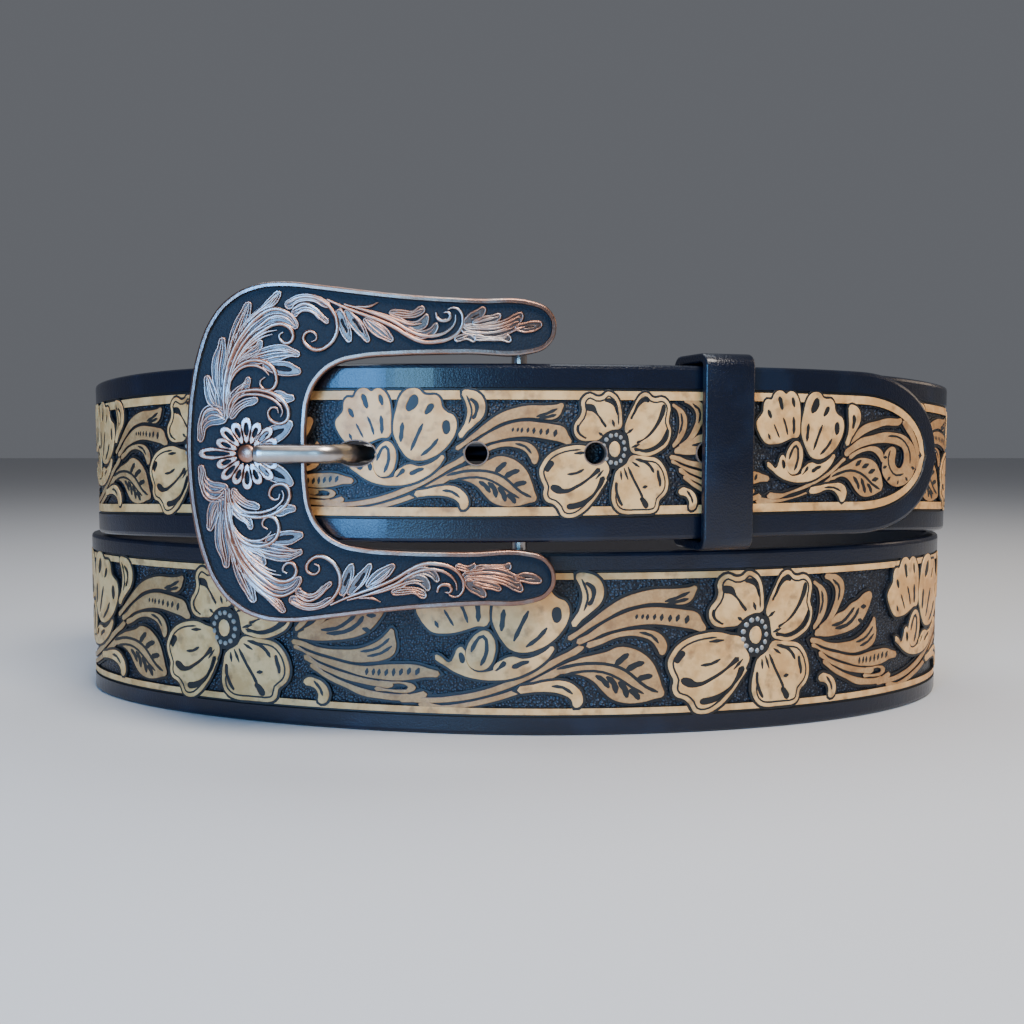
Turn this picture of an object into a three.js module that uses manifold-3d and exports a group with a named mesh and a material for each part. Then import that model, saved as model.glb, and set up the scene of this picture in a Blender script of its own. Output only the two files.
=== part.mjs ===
// A western belt: a tapered leather strap, buckled and coiled in two turns that stand on edge, one above the other.
// Millimetres. +X runs to the right along the front, +Y from the front to the back, +Z up.
import * as THREE from "three";
import { mergeVertices } from "three/addons/utils/BufferGeometryUtils.js";
import Module from "manifold-3d";

const wasm = await Module();
wasm.setup();

// The strap. Its ends are narrower than its middle, as on a tapered western belt.
const strap = {
  endWidth: 38,
  bodyWidth: 42,
  thickness: 3.6,
  edgeChamfer: 0.8,
  foldThickness: 2.2,
  foldLength: 68,
  skiveLength: 12,
  taperLength: 120,
  layerGap: 0.4,
  tipLength: 29,
  tipEndWidth: 4,
  stationPitch: 5.6,
  wrapPitch: 1.3,
};

// The coil, seen from above: how far the outer faces reach from the middle of the coil.
const coil = {
  leftLower: 114.2,
  leftUpper: 110.2,
  rightLower: 117,
  rightUpper: 119,
  front: 70,
  backInner: 31,
  backOuter: 37.5,
  upperSkew: -0.14,
  lowerSkew: 0.1,
  frontSquareness: 1.9,
  backSquareness: 2.3,
  endGap: 0.8,
  lugGap: 1,
  tipFromRight: 13.4,
};

// How far along each stretch the strap changes its height, as shares of the stretch.
const climbs = { crossingStart: 0.2, crossingEnd: 0.8, frontStart: 0.15, frontEnd: 0.89 };

const holes = { diameter: 4.8, pitch: 25.4, beyondProng: 3, beforeProng: 1, prongRoom: 0.75 };

const keeper = {
  width: 12,
  wall: 2,
  cornerRadius: 1,
  edgeBevel: 0.3,
  topGap: 0.7,
  seatGap: 0.6,
  faceGap: 0.9,
  fromBar: 45,
};

// The buckle, seen from its front: x to the right, y up, z out of its face, with the bar's axis through the origin.
const buckle = {
  fromMiddle: 3.2,
  sideGap: 1.4,
  thickness: 3.6,
  rimWidth: 1.3,
  rimHeight: 1,
  rimSlope: 0.35,
  edgeBevel: 0.5,
  bowRadius: 230,
  bowCentre: -3,
  strapGap: 0.45,
  reliefHeight: 0.7,
  barDiameter: 3.4,
  barClearance: 0.25,
  reliefSink: 0.4,
  lugWidth: 7,
  lugDepth: 5.4,
  lugGap: 0.7,
  lugBelowBar: 2.8,
  lugEndWall: 1.2,
};

const prong = {
  width: 4,
  thickness: 3,
  ringWall: 1.7,
  ringClearance: 0.25,
  restGap: 0.4,
  underGap: 0.9,
  slotGap: 1.2,
  rise: 10.5,
  tipFromFlower: 1.7,
};

const post = { shank: 4, head: 8.6, headThickness: 1.1, clearance: 0.3, inset: 0.2, fromBar: [23, 61] };

const leather = new THREE.MeshStandardMaterial({ color: 0x10141f, roughness: 0.42, metalness: 0 });
const plainLeather = new THREE.MeshStandardMaterial({ color: 0x141b29, roughness: 0.45, metalness: 0 });
const castMetal = new THREE.MeshStandardMaterial({ color: 0x8d7468, roughness: 0.38, metalness: 1 });
const steel = new THREE.MeshStandardMaterial({ color: 0x8f8880, roughness: 0.28, metalness: 1 });

// The buckle's outline in chart squares, upper half only, from the left of its opening round the arm's end to its
// far left. The lower half mirrors it.
const outlineChart = [
  { x: -220, y: 0 },
  { x: -219, y: 35 },
  { x: -215, y: 58 },
  { x: -205, y: 76 },
  { x: -188, y: 89 },
  { x: -165, y: 95 },
  { x: -130, y: 98 },
  { x: -60, y: 100 },
  { x: 8, y: 101 },
  { x: 25, y: 109 },
  { x: 33, y: 127 },
  { x: 27, y: 144 },
  { x: 10, y: 153 },
  { x: -50, y: 155 },
  { x: -110, y: 158 },
  { x: -160, y: 163 },
  { x: -200, y: 168 },
  { x: -240, y: 172 },
  { x: -270, y: 169 },
  { x: -295, y: 157 },
  { x: -315, y: 135 },
  { x: -328, y: 105 },
  { x: -337, y: 65 },
  { x: -341, y: 30 },
  { x: -342, y: 0 },
];

// The opening is as high as the strap's end with a gap above and below it, and its size sets the chart's square.
const armRow = outlineChart[6];
const chartSquare = (strap.endWidth / 2 + buckle.sideGap) / armRow.y;
const innerEdge = -outlineChart[0].x * chartSquare;
const armInner = outlineChart[8].y * chartSquare;

const smooth = (t) => {
  const x = Math.min(1, Math.max(0, t));
  return x * x * (3 - 2 * x);
};
const mix = (a, b, t) => a + (b - a) * t;

// Heights of the strap's middle line. The keeper stands on the lower turn and carries the front of the upper one.
const lowerHeight = strap.bodyWidth / 2;
const upperEndHeight = strap.bodyWidth + coil.endGap + strap.endWidth / 2;
const upperFrontHeight = strap.bodyWidth + keeper.seatGap + keeper.wall + keeper.seatGap + strap.endWidth / 2;

const half = strap.thickness / 2;
const layerStep = strap.thickness + strap.layerGap;
const wrapRadius = buckle.barDiameter / 2 + buckle.barClearance + strap.foldThickness / 2;

// The lower turn passes behind the lug at the bar's lower end.
const barDepth = coil.front - layerStep - strap.foldThickness / 2 - wrapRadius;
const lowerFront = barDepth - buckle.lugBelowBar - coil.lugGap;

// Half ovals that the strap's middle line follows, seen from above. side is -1 in front and 1 at the back.
const ovals = {
  tip: {
    left: coil.leftUpper - half,
    right: coil.rightUpper - half + layerStep,
    depth: coil.front - half,
    side: -1,
    skew: coil.upperSkew,
    squareness: coil.frontSquareness,
  },
  lower: {
    left: coil.leftLower - half,
    right: coil.rightLower - half,
    depth: lowerFront - half,
    side: -1,
    skew: coil.lowerSkew,
    squareness: coil.frontSquareness,
  },
  innerPass: {
    left: coil.leftUpper - half,
    right: coil.rightLower - half,
    depth: coil.backInner - half,
    side: 1,
    skew: 0,
    squareness: coil.backSquareness,
  },
  outerPass: {
    left: coil.leftLower - half,
    right: coil.rightUpper - half,
    depth: coil.backOuter - half,
    side: 1,
    skew: 0,
    squareness: coil.backSquareness,
  },
};

// turn runs from 0 at the oval's left end to 1 at its right end.
function ovalPoint(oval, turn, inset = 0) {
  const place = (t) => {
    const c = Math.cos(Math.PI * t);
    const s = Math.sin(Math.PI * t);
    const reach = c > 0 ? oval.left : oval.right;
    const power = 2 / oval.squareness;
    const across = -Math.sign(c) * Math.abs(c) ** power;
    const depth = oval.depth * Math.max(0, s) ** power * (1 + oval.skew * across);
    return new THREE.Vector2(across * reach, oval.side * depth);
  };
  const step = 1e-4;
  const here = place(turn);
  const along = place(Math.min(1, turn + step)).sub(place(Math.max(0, turn - step))).normalize();
  const inward = new THREE.Vector2(-along.y, along.x).multiplyScalar(-oval.side * inset);
  return here.add(inward);
}

const between = (start, end, value) => smooth((value - start) / (end - start));
const frontShare = (turn) => between(climbs.frontStart, climbs.frontEnd, Math.sin(Math.PI * turn));
const frontLevel = (turn) => mix(upperEndHeight, upperFrontHeight, frontShare(turn));
const crossingShare = (turn) => between(climbs.crossingStart, climbs.crossingEnd, turn);

// The turn of the tip oval at a given x, found by halving.
function turnAt(oval, x) {
  let low = 0;
  let high = 1;
  for (let i = 0; i < 50; i++) {
    const middle = (low + high) / 2;
    if (ovalPoint(oval, middle).x < x) low = middle;
    else high = middle;
  }
  return (low + high) / 2;
}

// A line of points with the distance along it, from which a place at any distance can be read.
function measured(points) {
  const distance = [0];
  for (let i = 1; i < points.length; i++) distance.push(distance[i - 1] + points[i].distanceTo(points[i - 1]));
  return { points, distance, length: distance.at(-1) };
}

function pointAt(line, s) {
  const { points, distance } = line;
  let i = distance.findIndex((d) => d > s);
  if (i < 1) i = s <= 0 ? 1 : points.length - 1;
  const share = (s - distance[i - 1]) / (distance[i] - distance[i - 1]);
  return points[i - 1].clone().lerp(points[i], share);
}

// The frame of the strap at a distance: its middle line, its direction, its outward normal and its own up.
function frameAt(line, s) {
  const step = 0.4;
  const along = pointAt(line, s + step).sub(pointAt(line, s - step)).normalize();
  const normal = new THREE.Vector3(along.y, -along.x, 0).normalize();
  const up = normal.clone().cross(along);
  return { point: pointAt(line, s), along, normal, up };
}

function ovalLine(oval, from, to, height, inset = () => 0) {
  const count = 400;
  const points = [];
  for (let i = 0; i <= count; i++) {
    const turn = mix(from, to, i / count);
    const flat = ovalPoint(oval, turn, inset(turn));
    points.push(new THREE.Vector3(flat.x, flat.y, height(turn)));
  }
  return points;
}

const barTurn = turnAt(ovals.tip, buckle.fromMiddle);

// The layer under the tip, from the bar to the right end. It is skived thin where it goes round the bar.
const tipRoomLine = measured(ovalLine(ovals.tip, barTurn, 1, frontLevel));
const underThickness = (fromBar) =>
  mix(strap.foldThickness, strap.thickness, smooth(fromBar / strap.skiveLength));
const underInset = (turn) => {
  const count = tipRoomLine.points.length - 1;
  const index = Math.min(count, Math.max(0, Math.round(((turn - barTurn) / (1 - barTurn)) * count)));
  return half + strap.layerGap + underThickness(tipRoomLine.distance[index]) / 2;
};
const underLine = measured(ovalLine(ovals.tip, barTurn, 1, frontLevel, underInset));

// The wrap round the bar, and the turned-back end behind the under layer.
const barFrame = frameAt(underLine, 0.5);
const barAxis = pointAt(underLine, 0).addScaledVector(barFrame.normal, -wrapRadius);
const foldSeparation = (fromBar) =>
  mix(
    2 * wrapRadius,
    (underThickness(fromBar) + strap.foldThickness) / 2 + strap.layerGap,
    smooth(fromBar / (1.5 * strap.skiveLength)),
  );

function foldLine() {
  const count = 60;
  const points = [];
  for (let i = 0; i <= count; i++) {
    const fromBar = mix(strap.foldLength, 0, i / count);
    const place = frameAt(underLine, Math.max(0.5, fromBar));
    points.push(pointAt(underLine, fromBar).addScaledVector(place.normal, -foldSeparation(fromBar)));
  }
  return points;
}

function wrapLine() {
  const count = 16;
  const points = [];
  for (let i = 1; i < count; i++) {
    const angle = (Math.PI * i) / count;
    const out = barFrame.normal.clone().multiplyScalar(-Math.cos(angle) * wrapRadius);
    const left = barFrame.along.clone().multiplyScalar(-Math.sin(angle) * wrapRadius);
    points.push(barAxis.clone().add(out).add(left));
  }
  return points;
}

// The turn at which the tip ends, and the whole middle line from the turned-back end to the tip.
const tipTurn = turnAt(ovals.tip, coil.rightUpper - coil.tipFromRight);
const outerPassLine = ovalLine(ovals.outerPass, 1, 0, (t) => mix(lowerHeight, upperEndHeight, crossingShare(t)));
const innerPassLine = ovalLine(ovals.innerPass, 1, 0, (t) => mix(upperEndHeight, lowerHeight, crossingShare(t)));
const middleLine = measured([
  ...foldLine(),
  ...wrapLine(),
  ...underLine.points,
  ...outerPassLine.slice(1),
  ...ovalLine(ovals.lower, 0, 1, () => lowerHeight).slice(1),
  ...innerPassLine.slice(1),
  ...ovalLine(ovals.tip, 0, tipTurn, frontLevel).slice(1),
]);

// Distances along the strap at which something happens.
const wrapEnd = strap.foldLength + Math.PI * wrapRadius;
const barOnTip = middleLine.length - measured(ovalLine(ovals.tip, barTurn, tipTurn, frontLevel)).length;
const holeFromBar = innerEdge - prong.rise;
const prongHole = barOnTip - holeFromBar;
const backOfOuterPass = wrapEnd + underLine.length + measured(outerPassLine).length / 2;
const backOfInnerPass = barOnTip - measured(ovalLine(ovals.tip, 0, barTurn, frontLevel)).length
  - measured(innerPassLine).length / 2;

function widthAt(s) {
  const reach = strap.taperLength / 2;
  const widened = between(backOfOuterPass - reach, backOfOuterPass + reach, s)
    - between(backOfInnerPass - reach, backOfInnerPass + reach, s);
  const full = mix(strap.endWidth, strap.bodyWidth, widened);
  const intoTip = (s - (middleLine.length - strap.tipLength)) / strap.tipLength;
  if (intoTip <= 0) return full;
  return Math.max(strap.tipEndWidth, full * Math.sqrt(Math.max(0, 1 - intoTip ** 2)));
}

const thicknessAt = (s) => underThickness(s - wrapEnd);

// Stations are close together round the bar and in the tip, and further apart along the rest.
function stations() {
  const places = [];
  const add = (from, to, pitch) => {
    const count = Math.ceil((to - from) / pitch);
    for (let i = 0; i < count; i++) places.push(mix(from, to, i / count));
  };
  const tipStart = middleLine.length - strap.tipLength;
  add(0, strap.foldLength, 2 * strap.stationPitch);
  add(strap.foldLength, wrapEnd, strap.wrapPitch);
  add(wrapEnd, wrapEnd + strap.skiveLength, strap.stationPitch / 2);
  add(wrapEnd + strap.skiveLength, tipStart, strap.stationPitch);
  const tipSteps = 9;
  for (let i = 0; i <= tipSteps; i++) {
    places.push(tipStart + strap.tipLength * Math.sin((Math.PI / 2) * (i / tipSteps)));
  }
  return places;
}

// Booleans.
function toSolid(geometry) {
  const plain = geometry.clone();
  plain.deleteAttribute("normal");
  plain.deleteAttribute("uv");
  const merged = mergeVertices(plain, 1e-4);
  return new wasm.Manifold(
    new wasm.Mesh({
      numProp: 3,
      vertProperties: merged.attributes.position.array,
      triVerts: new Uint32Array(merged.index.array),
    }),
  );
}

function toGeometry(solid) {
  const mesh = solid.getMesh();
  const count = mesh.numProp;
  const position = new Float32Array(mesh.numVert * 3);
  for (let i = 0; i < mesh.numVert; i++) {
    position.set(mesh.vertProperties.subarray(i * count, i * count + 3), i * 3);
  }
  const geometry = new THREE.BufferGeometry()
    .setAttribute("position", new THREE.BufferAttribute(position, 3))
    .setIndex(new THREE.BufferAttribute(mesh.triVerts, 1));
  geometry.computeVertexNormals();
  return geometry;
}

function part(name, geometry, material) {
  const mesh = new THREE.Mesh(geometry, material);
  mesh.name = name;
  return mesh;
}

// A matrix whose x runs along the strap, y up and z outward, at a distance along the middle line.
function strapMatrix(s, line = middleLine) {
  const { point, along, normal, up } = frameAt(line, s);
  return new THREE.Matrix4().makeBasis(along, up, normal).setPosition(point);
}

// A chamfered section swept along the middle line.
function sweptStrap() {
  const places = stations();
  const corner = { x: strap.endWidth / 2, y: half };
  const inset = strap.edgeChamfer;
  const section = new THREE.Shape([
    new THREE.Vector2(-corner.x, -corner.y + inset),
    new THREE.Vector2(-corner.x + inset, -corner.y),
    new THREE.Vector2(corner.x - inset, -corner.y),
    new THREE.Vector2(corner.x, -corner.y + inset),
    new THREE.Vector2(corner.x, corner.y - inset),
    new THREE.Vector2(corner.x - inset, corner.y),
    new THREE.Vector2(-corner.x + inset, corner.y),
    new THREE.Vector2(-corner.x, corner.y - inset),
  ]);
  const steps = places.length - 1;
  const geometry = new THREE.ExtrudeGeometry(section, { steps, depth: steps, bevelEnabled: false });
  const position = geometry.attributes.position;
  const vertex = new THREE.Vector3();
  for (let i = 0; i < position.count; i++) {
    vertex.fromBufferAttribute(position, i);
    const s = places[Math.round(vertex.z)];
    const { point, normal, up } = frameAt(middleLine, s);
    point.addScaledVector(up, (vertex.x * widthAt(s)) / strap.endWidth);
    point.addScaledVector(normal, (vertex.y * thicknessAt(s)) / strap.thickness);
    position.setXYZ(i, point.x, point.y, point.z);
  }
  return toSolid(geometry);
}

function punch(diameter, from, to) {
  const geometry = new THREE.CylinderGeometry(diameter / 2, diameter / 2, to - from, 16);
  return geometry.rotateX(Math.PI / 2).translate(0, 0, (from + to) / 2);
}

// The hole in use is stretched by the prong, which slopes through it, and the others are round.
function holePunches() {
  const reach = strap.thickness;
  const usedLength = strap.thickness + Math.SQRT2 * prong.thickness + holes.prongRoom;
  const usedHeight = prong.width + 2 * holes.prongRoom;
  const punches = [];
  for (let i = -holes.beforeProng; i <= holes.beyondProng; i++) {
    const matrix = strapMatrix(prongHole + i * holes.pitch);
    const geometry = punch(holes.diameter, -reach, reach);
    if (i === 0) geometry.scale(usedLength / holes.diameter, usedHeight / holes.diameter, 1);
    punches.push(toSolid(geometry.applyMatrix4(matrix)));
  }
  return punches;
}

// Room for the prong's ring in the wrap, clear of the layer in front of it.
function prongSlot() {
  const height = prong.width + 2 * prong.slotGap;
  const out = wrapRadius + strap.foldThickness / 2 + strap.layerGap / 2;
  const inside = wrapRadius + strap.foldThickness;
  const right = inside + prong.thickness;
  const geometry = new THREE.BoxGeometry(inside + right, height, out + inside);
  geometry.translate((right - inside) / 2, 0, (out - inside) / 2);
  return toSolid(geometry.applyMatrix4(buckleMatrix));
}

const buckleMatrix = new THREE.Matrix4()
  .makeBasis(barFrame.along, new THREE.Vector3(0, 0, 1), barFrame.normal)
  .setPosition(barAxis);

// A post holds the turned-back end. z runs outward, from the inner face of the turned-back end.
function postSpan(fromBar) {
  const thickness = underThickness(fromBar);
  return {
    inner: -(foldSeparation(fromBar) + strap.foldThickness / 2),
    outer: thickness / 2,
  };
}

function postPunch(fromBar) {
  const { inner, outer } = postSpan(fromBar);
  const geometry = punch(post.shank + 2 * post.clearance, inner - 1, outer + strap.layerGap / 2);
  return toSolid(geometry.applyMatrix4(strapMatrix(fromBar, underLine)));
}

function foldPost(fromBar) {
  const { inner, outer } = postSpan(fromBar);
  const under = inner - post.clearance;
  const profile = [
    new THREE.Vector2(0, under - post.headThickness),
    new THREE.Vector2(post.head / 2, under - post.headThickness),
    new THREE.Vector2(post.head / 2, under),
    new THREE.Vector2(post.shank / 2, under),
    new THREE.Vector2(post.shank / 2, outer - post.inset),
    new THREE.Vector2(0, outer - post.inset),
  ];
  return new THREE.LatheGeometry(profile, 16).rotateX(Math.PI / 2).applyMatrix4(strapMatrix(fromBar, underLine));
}

function strapGeometry() {
  let solid = sweptStrap();
  for (const cutter of [...holePunches(), prongSlot(), ...post.fromBar.map(postPunch)]) {
    solid = solid.subtract(cutter);
  }
  return toGeometry(solid);
}

// The keeper goes round the tip, the under layer and the turned-back end.
function roundedRectangle(low, high, radius) {
  const shape = new THREE.Shape();
  shape.moveTo(low.x + radius, low.y);
  shape.lineTo(high.x - radius, low.y);
  shape.absarc(high.x - radius, low.y + radius, radius, -Math.PI / 2, 0);
  shape.lineTo(high.x, high.y - radius);
  shape.absarc(high.x - radius, high.y - radius, radius, 0, Math.PI / 2);
  shape.lineTo(low.x + radius, high.y);
  shape.absarc(low.x + radius, high.y - radius, radius, Math.PI / 2, Math.PI);
  shape.lineTo(low.x, low.y + radius);
  shape.absarc(low.x + radius, low.y + radius, radius, Math.PI, 1.5 * Math.PI);
  return shape;
}

function keeperGeometry() {
  const outward = half + keeper.faceGap;
  const inward = half + layerStep + strap.layerGap + strap.foldThickness + keeper.faceGap;
  const low = new THREE.Vector2(-strap.endWidth / 2 - keeper.seatGap, -inward);
  const high = new THREE.Vector2(strap.endWidth / 2 + keeper.topGap, outward);
  const wall = new THREE.Vector2(keeper.wall, keeper.wall);
  const shape = roundedRectangle(
    low.clone().sub(wall),
    high.clone().add(wall),
    keeper.cornerRadius + keeper.wall,
  );
  shape.holes.push(roundedRectangle(low, high, keeper.cornerRadius));
  const geometry = new THREE.ExtrudeGeometry(shape, {
    depth: keeper.width - 2 * keeper.edgeBevel,
    bevelThickness: keeper.edgeBevel,
    bevelSize: keeper.edgeBevel,
    bevelOffset: -keeper.edgeBevel,
    bevelSegments: 1,
    curveSegments: 3,
  });
  geometry.translate(0, 0, keeper.edgeBevel - keeper.width / 2);
  const { point, along, normal, up } = frameAt(middleLine, barOnTip + keeper.fromBar);
  const matrix = new THREE.Matrix4().makeBasis(up, normal, along).setPosition(point);
  return geometry.applyMatrix4(matrix);
}

// Leaf blades of the upper half, in chart squares: a root, the point that the blade bends towards, a point and a width.
const bladeChart = [
  { part: "outer spray", x: -298, y: 24, bendX: -318, bendY: 50, tipX: -320, tipY: 78, width: 11 },
  { part: "outer spray", x: -301, y: 36, bendX: -318, bendY: 84, tipX: -302, tipY: 120, width: 12 },
  { part: "outer spray", x: -300, y: 48, bendX: -306, bendY: 104, tipX: -274, tipY: 150, width: 12 },
  { part: "outer spray", x: -298, y: 62, bendX: -288, bendY: 122, tipX: -246, tipY: 160, width: 15 },
  { part: "outer spray", x: -296, y: 74, bendX: -276, bendY: 130, tipX: -229, tipY: 128, width: 14 },
  { part: "middle spray", x: -297, y: 58, bendX: -280, bendY: 104, tipX: -226, tipY: 103, width: 12 },
  { part: "middle spray", x: -290, y: 66, bendX: -266, bendY: 96, tipX: -226, tipY: 84, width: 11 },
  { part: "inner spray", x: -292, y: 42, bendX: -292, bendY: 68, tipX: -276, tipY: 80, width: 10 },
  { part: "inner spray", x: -294, y: 34, bendX: -276, bendY: 76, tipX: -238, tipY: 56, width: 11 },
  { part: "curled leaf", x: -300, y: 28, bendX: -330, bendY: 40, tipX: -327, tipY: 14, width: 12 },
  { part: "shoulder", x: -232, y: 144, bendX: -212, bendY: 168, tipX: -196, tipY: 132, width: 11 },
  { part: "arm stem", x: -198, y: 152, bendX: -160, bendY: 118, tipX: -92, tipY: 112, width: 13 },
  { part: "arm lower leaf", x: -188, y: 138, bendX: -186, bendY: 122, tipX: -176, tipY: 112, width: 11 },
  { part: "arm lower leaf", x: -178, y: 134, bendX: -170, bendY: 120, tipX: -155, tipY: 112, width: 11 },
  { part: "arm lower leaf", x: -166, y: 130, bendX: -152, bendY: 118, tipX: -133, tipY: 112, width: 11 },
  { part: "arm upper leaf", x: -186, y: 150, bendX: -150, bendY: 154, tipX: -102, tipY: 144, width: 11 },
  { part: "arm upper leaf", x: -160, y: 142, bendX: -130, bendY: 128, tipX: -97, tipY: 132, width: 11 },
  { part: "arm curl", x: -100, y: 112, bendX: -62, bendY: 112, tipX: -68, tipY: 142, width: 11 },
  { part: "end leaf", x: -62, y: 124, bendX: -52, bendY: 138, tipX: -40, tipY: 143, width: 9 },
  { part: "end leaf", x: -60, y: 122, bendX: -30, bendY: 122, tipX: -3, tipY: 139, width: 11 },
  { part: "end leaf", x: -58, y: 120, bendX: -44, bendY: 116, tipX: -20, tipY: 118, width: 9 },
  { part: "bud", x: -8, y: 125, bendX: 5, bendY: 131, tipX: 18, tipY: 129, width: 9 },
];

// Scrolls of the upper half, in chart squares: a centre, an outer radius, the turns of the spiral and where it starts.
const scrollChart = [
  { x: -239, y: 119, radius: 12, turns: 1.1, start: 1.2, hand: -1 },
  { x: -259, y: 75, radius: 11, turns: 1.1, start: 1.6, hand: -1 },
  { x: -250, y: 44, radius: 13, turns: 1.2, start: 1.6, hand: -1 },
  { x: -214, y: 117, radius: 13, turns: 1.1, start: -1.3, hand: 1 },
  { x: -82, y: 134, radius: 10, turns: 1.0, start: -0.6, hand: 1 },
];

// How high each kind of ornament stands, as shares of the relief's height.
const reliefShares = { blades: [1, 0.94, 0.88], scrolls: 0.8, petals: [0.86, 0.78] };

const flowerChart = { x: -280, petals: 14, inner: 9, outer: 36, petalWidth: 13, widest: 0.75, boss: 10 };

const chartPoint = (x, y) => new THREE.Vector2(x, y).multiplyScalar(chartSquare);

function outlinePoints(inset) {
  const upper = outlineChart.map(({ x, y }) => chartPoint(x, y));
  const lower = upper.slice(1, -1).reverse().map(({ x, y }) => new THREE.Vector2(x, -y));
  const around = [...upper, ...lower].map(({ x, y }) => new THREE.Vector3(x, y, 0));
  const curve = new THREE.CatmullRomCurve3(around, true, "centripetal");
  const count = 132;
  const points = curve.getSpacedPoints(count).slice(0, count);
  return points.map((point, i) => {
    const along = points[(i + 1) % count].clone().sub(points[(i + count - 1) % count]).normalize();
    return new THREE.Vector2(point.x + along.y * inset, point.y - along.x * inset);
  });
}

function plate(points, from, to, bevel) {
  const geometry = new THREE.ExtrudeGeometry(new THREE.Shape(points), {
    depth: to - from - 2 * bevel,
    bevelEnabled: bevel > 0,
    bevelThickness: bevel,
    bevelSize: bevel,
    bevelOffset: -bevel,
    bevelSegments: 1,
  });
  return toSolid(geometry.translate(0, 0, from + bevel));
}

// A blade is widest at its middle and ends in a point. side is 1 for the upper half and -1 for the lower half.
function bladeOutline(blade, side) {
  const curve = new THREE.QuadraticBezierCurve(
    chartPoint(blade.x, side * blade.y),
    chartPoint(blade.bendX, side * blade.bendY),
    chartPoint(blade.tipX, side * blade.tipY),
  );
  return ribbonOutline(
    [0, 0.2, 0.45, 0.7, 1].map((t) => ({
      point: curve.getPoint(t),
      along: curve.getTangent(t),
      width: blade.width * chartSquare * (0.25 + 0.75 * Math.sin(Math.PI * Math.min(1, t * 0.9 + 0.1))),
    })),
  );
}

function scrollOutline(scroll, side) {
  const count = 9;
  const along = (t) => {
    const angle = scroll.start + scroll.hand * 2 * Math.PI * scroll.turns * t;
    const radius = scroll.radius * (1 - 0.68 * t);
    return chartPoint(scroll.x + radius * Math.cos(angle), side * (scroll.y + radius * Math.sin(angle)));
  };
  const places = [];
  for (let i = 0; i <= count; i++) {
    const t = i / count;
    const direction = along(t + 0.01).sub(along(t - 0.01)).normalize();
    places.push({ point: along(t), along: direction, width: scroll.radius * chartSquare * mix(0.3, 0.42, t) });
  }
  return ribbonOutline(places);
}

function ribbonOutline(places) {
  const edge = (side) => places.map(({ point, along, width }) =>
    new THREE.Vector2(point.x - side * along.y * width / 2, point.y + side * along.x * width / 2));
  const outline = [...edge(-1), ...edge(1).reverse()];
  return THREE.ShapeUtils.isClockWise(outline) ? outline.reverse() : outline;
}

function petalOutlines() {
  const petals = [];
  for (let i = 0; i < flowerChart.petals; i++) {
    const angle = (2 * Math.PI * i) / flowerChart.petals;
    const reach = (r) => chartPoint(flowerChart.x + r * Math.cos(angle), r * Math.sin(angle));
    const along = new THREE.Vector2(Math.cos(angle), Math.sin(angle));
    const width = flowerChart.petalWidth * chartSquare;
    petals.push(ribbonOutline([
      { point: reach(flowerChart.inner), along, width: width / 3 },
      { point: reach(mix(flowerChart.inner, flowerChart.outer, flowerChart.widest)), along, width },
      { point: reach(flowerChart.outer), along, width: width / 3 },
    ]));
  }
  return petals;
}

// The parabola that the whole frame bows along, so that it follows the coil.
const bow = (x) => -((x - buckle.bowCentre) ** 2) / (2 * buckle.bowRadius);

// How far the strap's outer face stands in front of the bar's axis, at a distance to the left of the bar.
function strapFaceAt(leftOfBar) {
  const place = frameAt(middleLine, barOnTip - leftOfBar);
  return place.point.clone().sub(barAxis).dot(barFrame.normal) + half;
}

// The frame's back clears the strap where its edges pass under the corners of the opening.
const cornerEdge = -outlineChart[5].x * chartSquare;
const clearOf = (x) => strapFaceAt(x) + buckle.strapGap - bow(-x);
const backFace = Math.max(clearOf(innerEdge), clearOf(cornerEdge));
const rimTop = backFace + buckle.thickness;
const fieldTop = rimTop - buckle.rimHeight;

function frameGeometry() {
  let solid = plate(outlinePoints(0), backFace, rimTop, buckle.edgeBevel);
  const tray = new THREE.ExtrudeGeometry(new THREE.Shape(outlinePoints(-buckle.rimWidth)), {
    depth: buckle.rimHeight,
    bevelThickness: 0.01,
    bevelSize: buckle.rimSlope,
    bevelOffset: -buckle.rimSlope,
    bevelSegments: 1,
  });
  solid = solid.subtract(toSolid(tray.translate(0, 0, fieldTop)));
  const sink = buckle.reliefSink;
  const raised = (outline, share) => plate(outline, fieldTop - sink, fieldTop + buckle.reliefHeight * share, 0);
  for (const side of [1, -1]) {
    bladeChart.forEach((blade, i) => {
      solid = solid.add(raised(bladeOutline(blade, side), reliefShares.blades[i % 3]));
    });
    for (const scroll of scrollChart) solid = solid.add(raised(scrollOutline(scroll, side), reliefShares.scrolls));
    const lugTop = (backFace + rimTop) / 2;
    const lug = new THREE.BoxGeometry(buckle.lugWidth, buckle.lugDepth, lugTop + buckle.lugBelowBar);
    lug.translate(0, side * (armInner + buckle.lugGap + buckle.lugDepth / 2), (lugTop - buckle.lugBelowBar) / 2);
    solid = solid.add(toSolid(lug));
  }
  petalOutlines().forEach((outline, i) => {
    solid = solid.add(raised(outline, reliefShares.petals[i % 2]));
  });
  const boss = new THREE.CylinderGeometry(
    (flowerChart.boss * chartSquare * 2) / 3,
    flowerChart.boss * chartSquare,
    buckle.reliefHeight + sink,
    14,
  );
  boss.rotateX(Math.PI / 2);
  boss.translate(flowerChart.x * chartSquare, 0, fieldTop + (buckle.reliefHeight - sink) / 2);
  solid = solid.add(toSolid(boss));
  solid = solid.warp((vertex) => {
    vertex[2] += bow(vertex[0]);
  });
  const seatReach = barReach + buckle.barClearance;
  const seat = punch(buckle.barDiameter + 2 * buckle.barClearance, -seatReach, seatReach);
  return toGeometry(solid.subtract(toSolid(seat.rotateX(Math.PI / 2)))).applyMatrix4(buckleMatrix);
}

const barReach = armInner + buckle.lugGap + buckle.lugDepth - buckle.lugEndWall;

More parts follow.
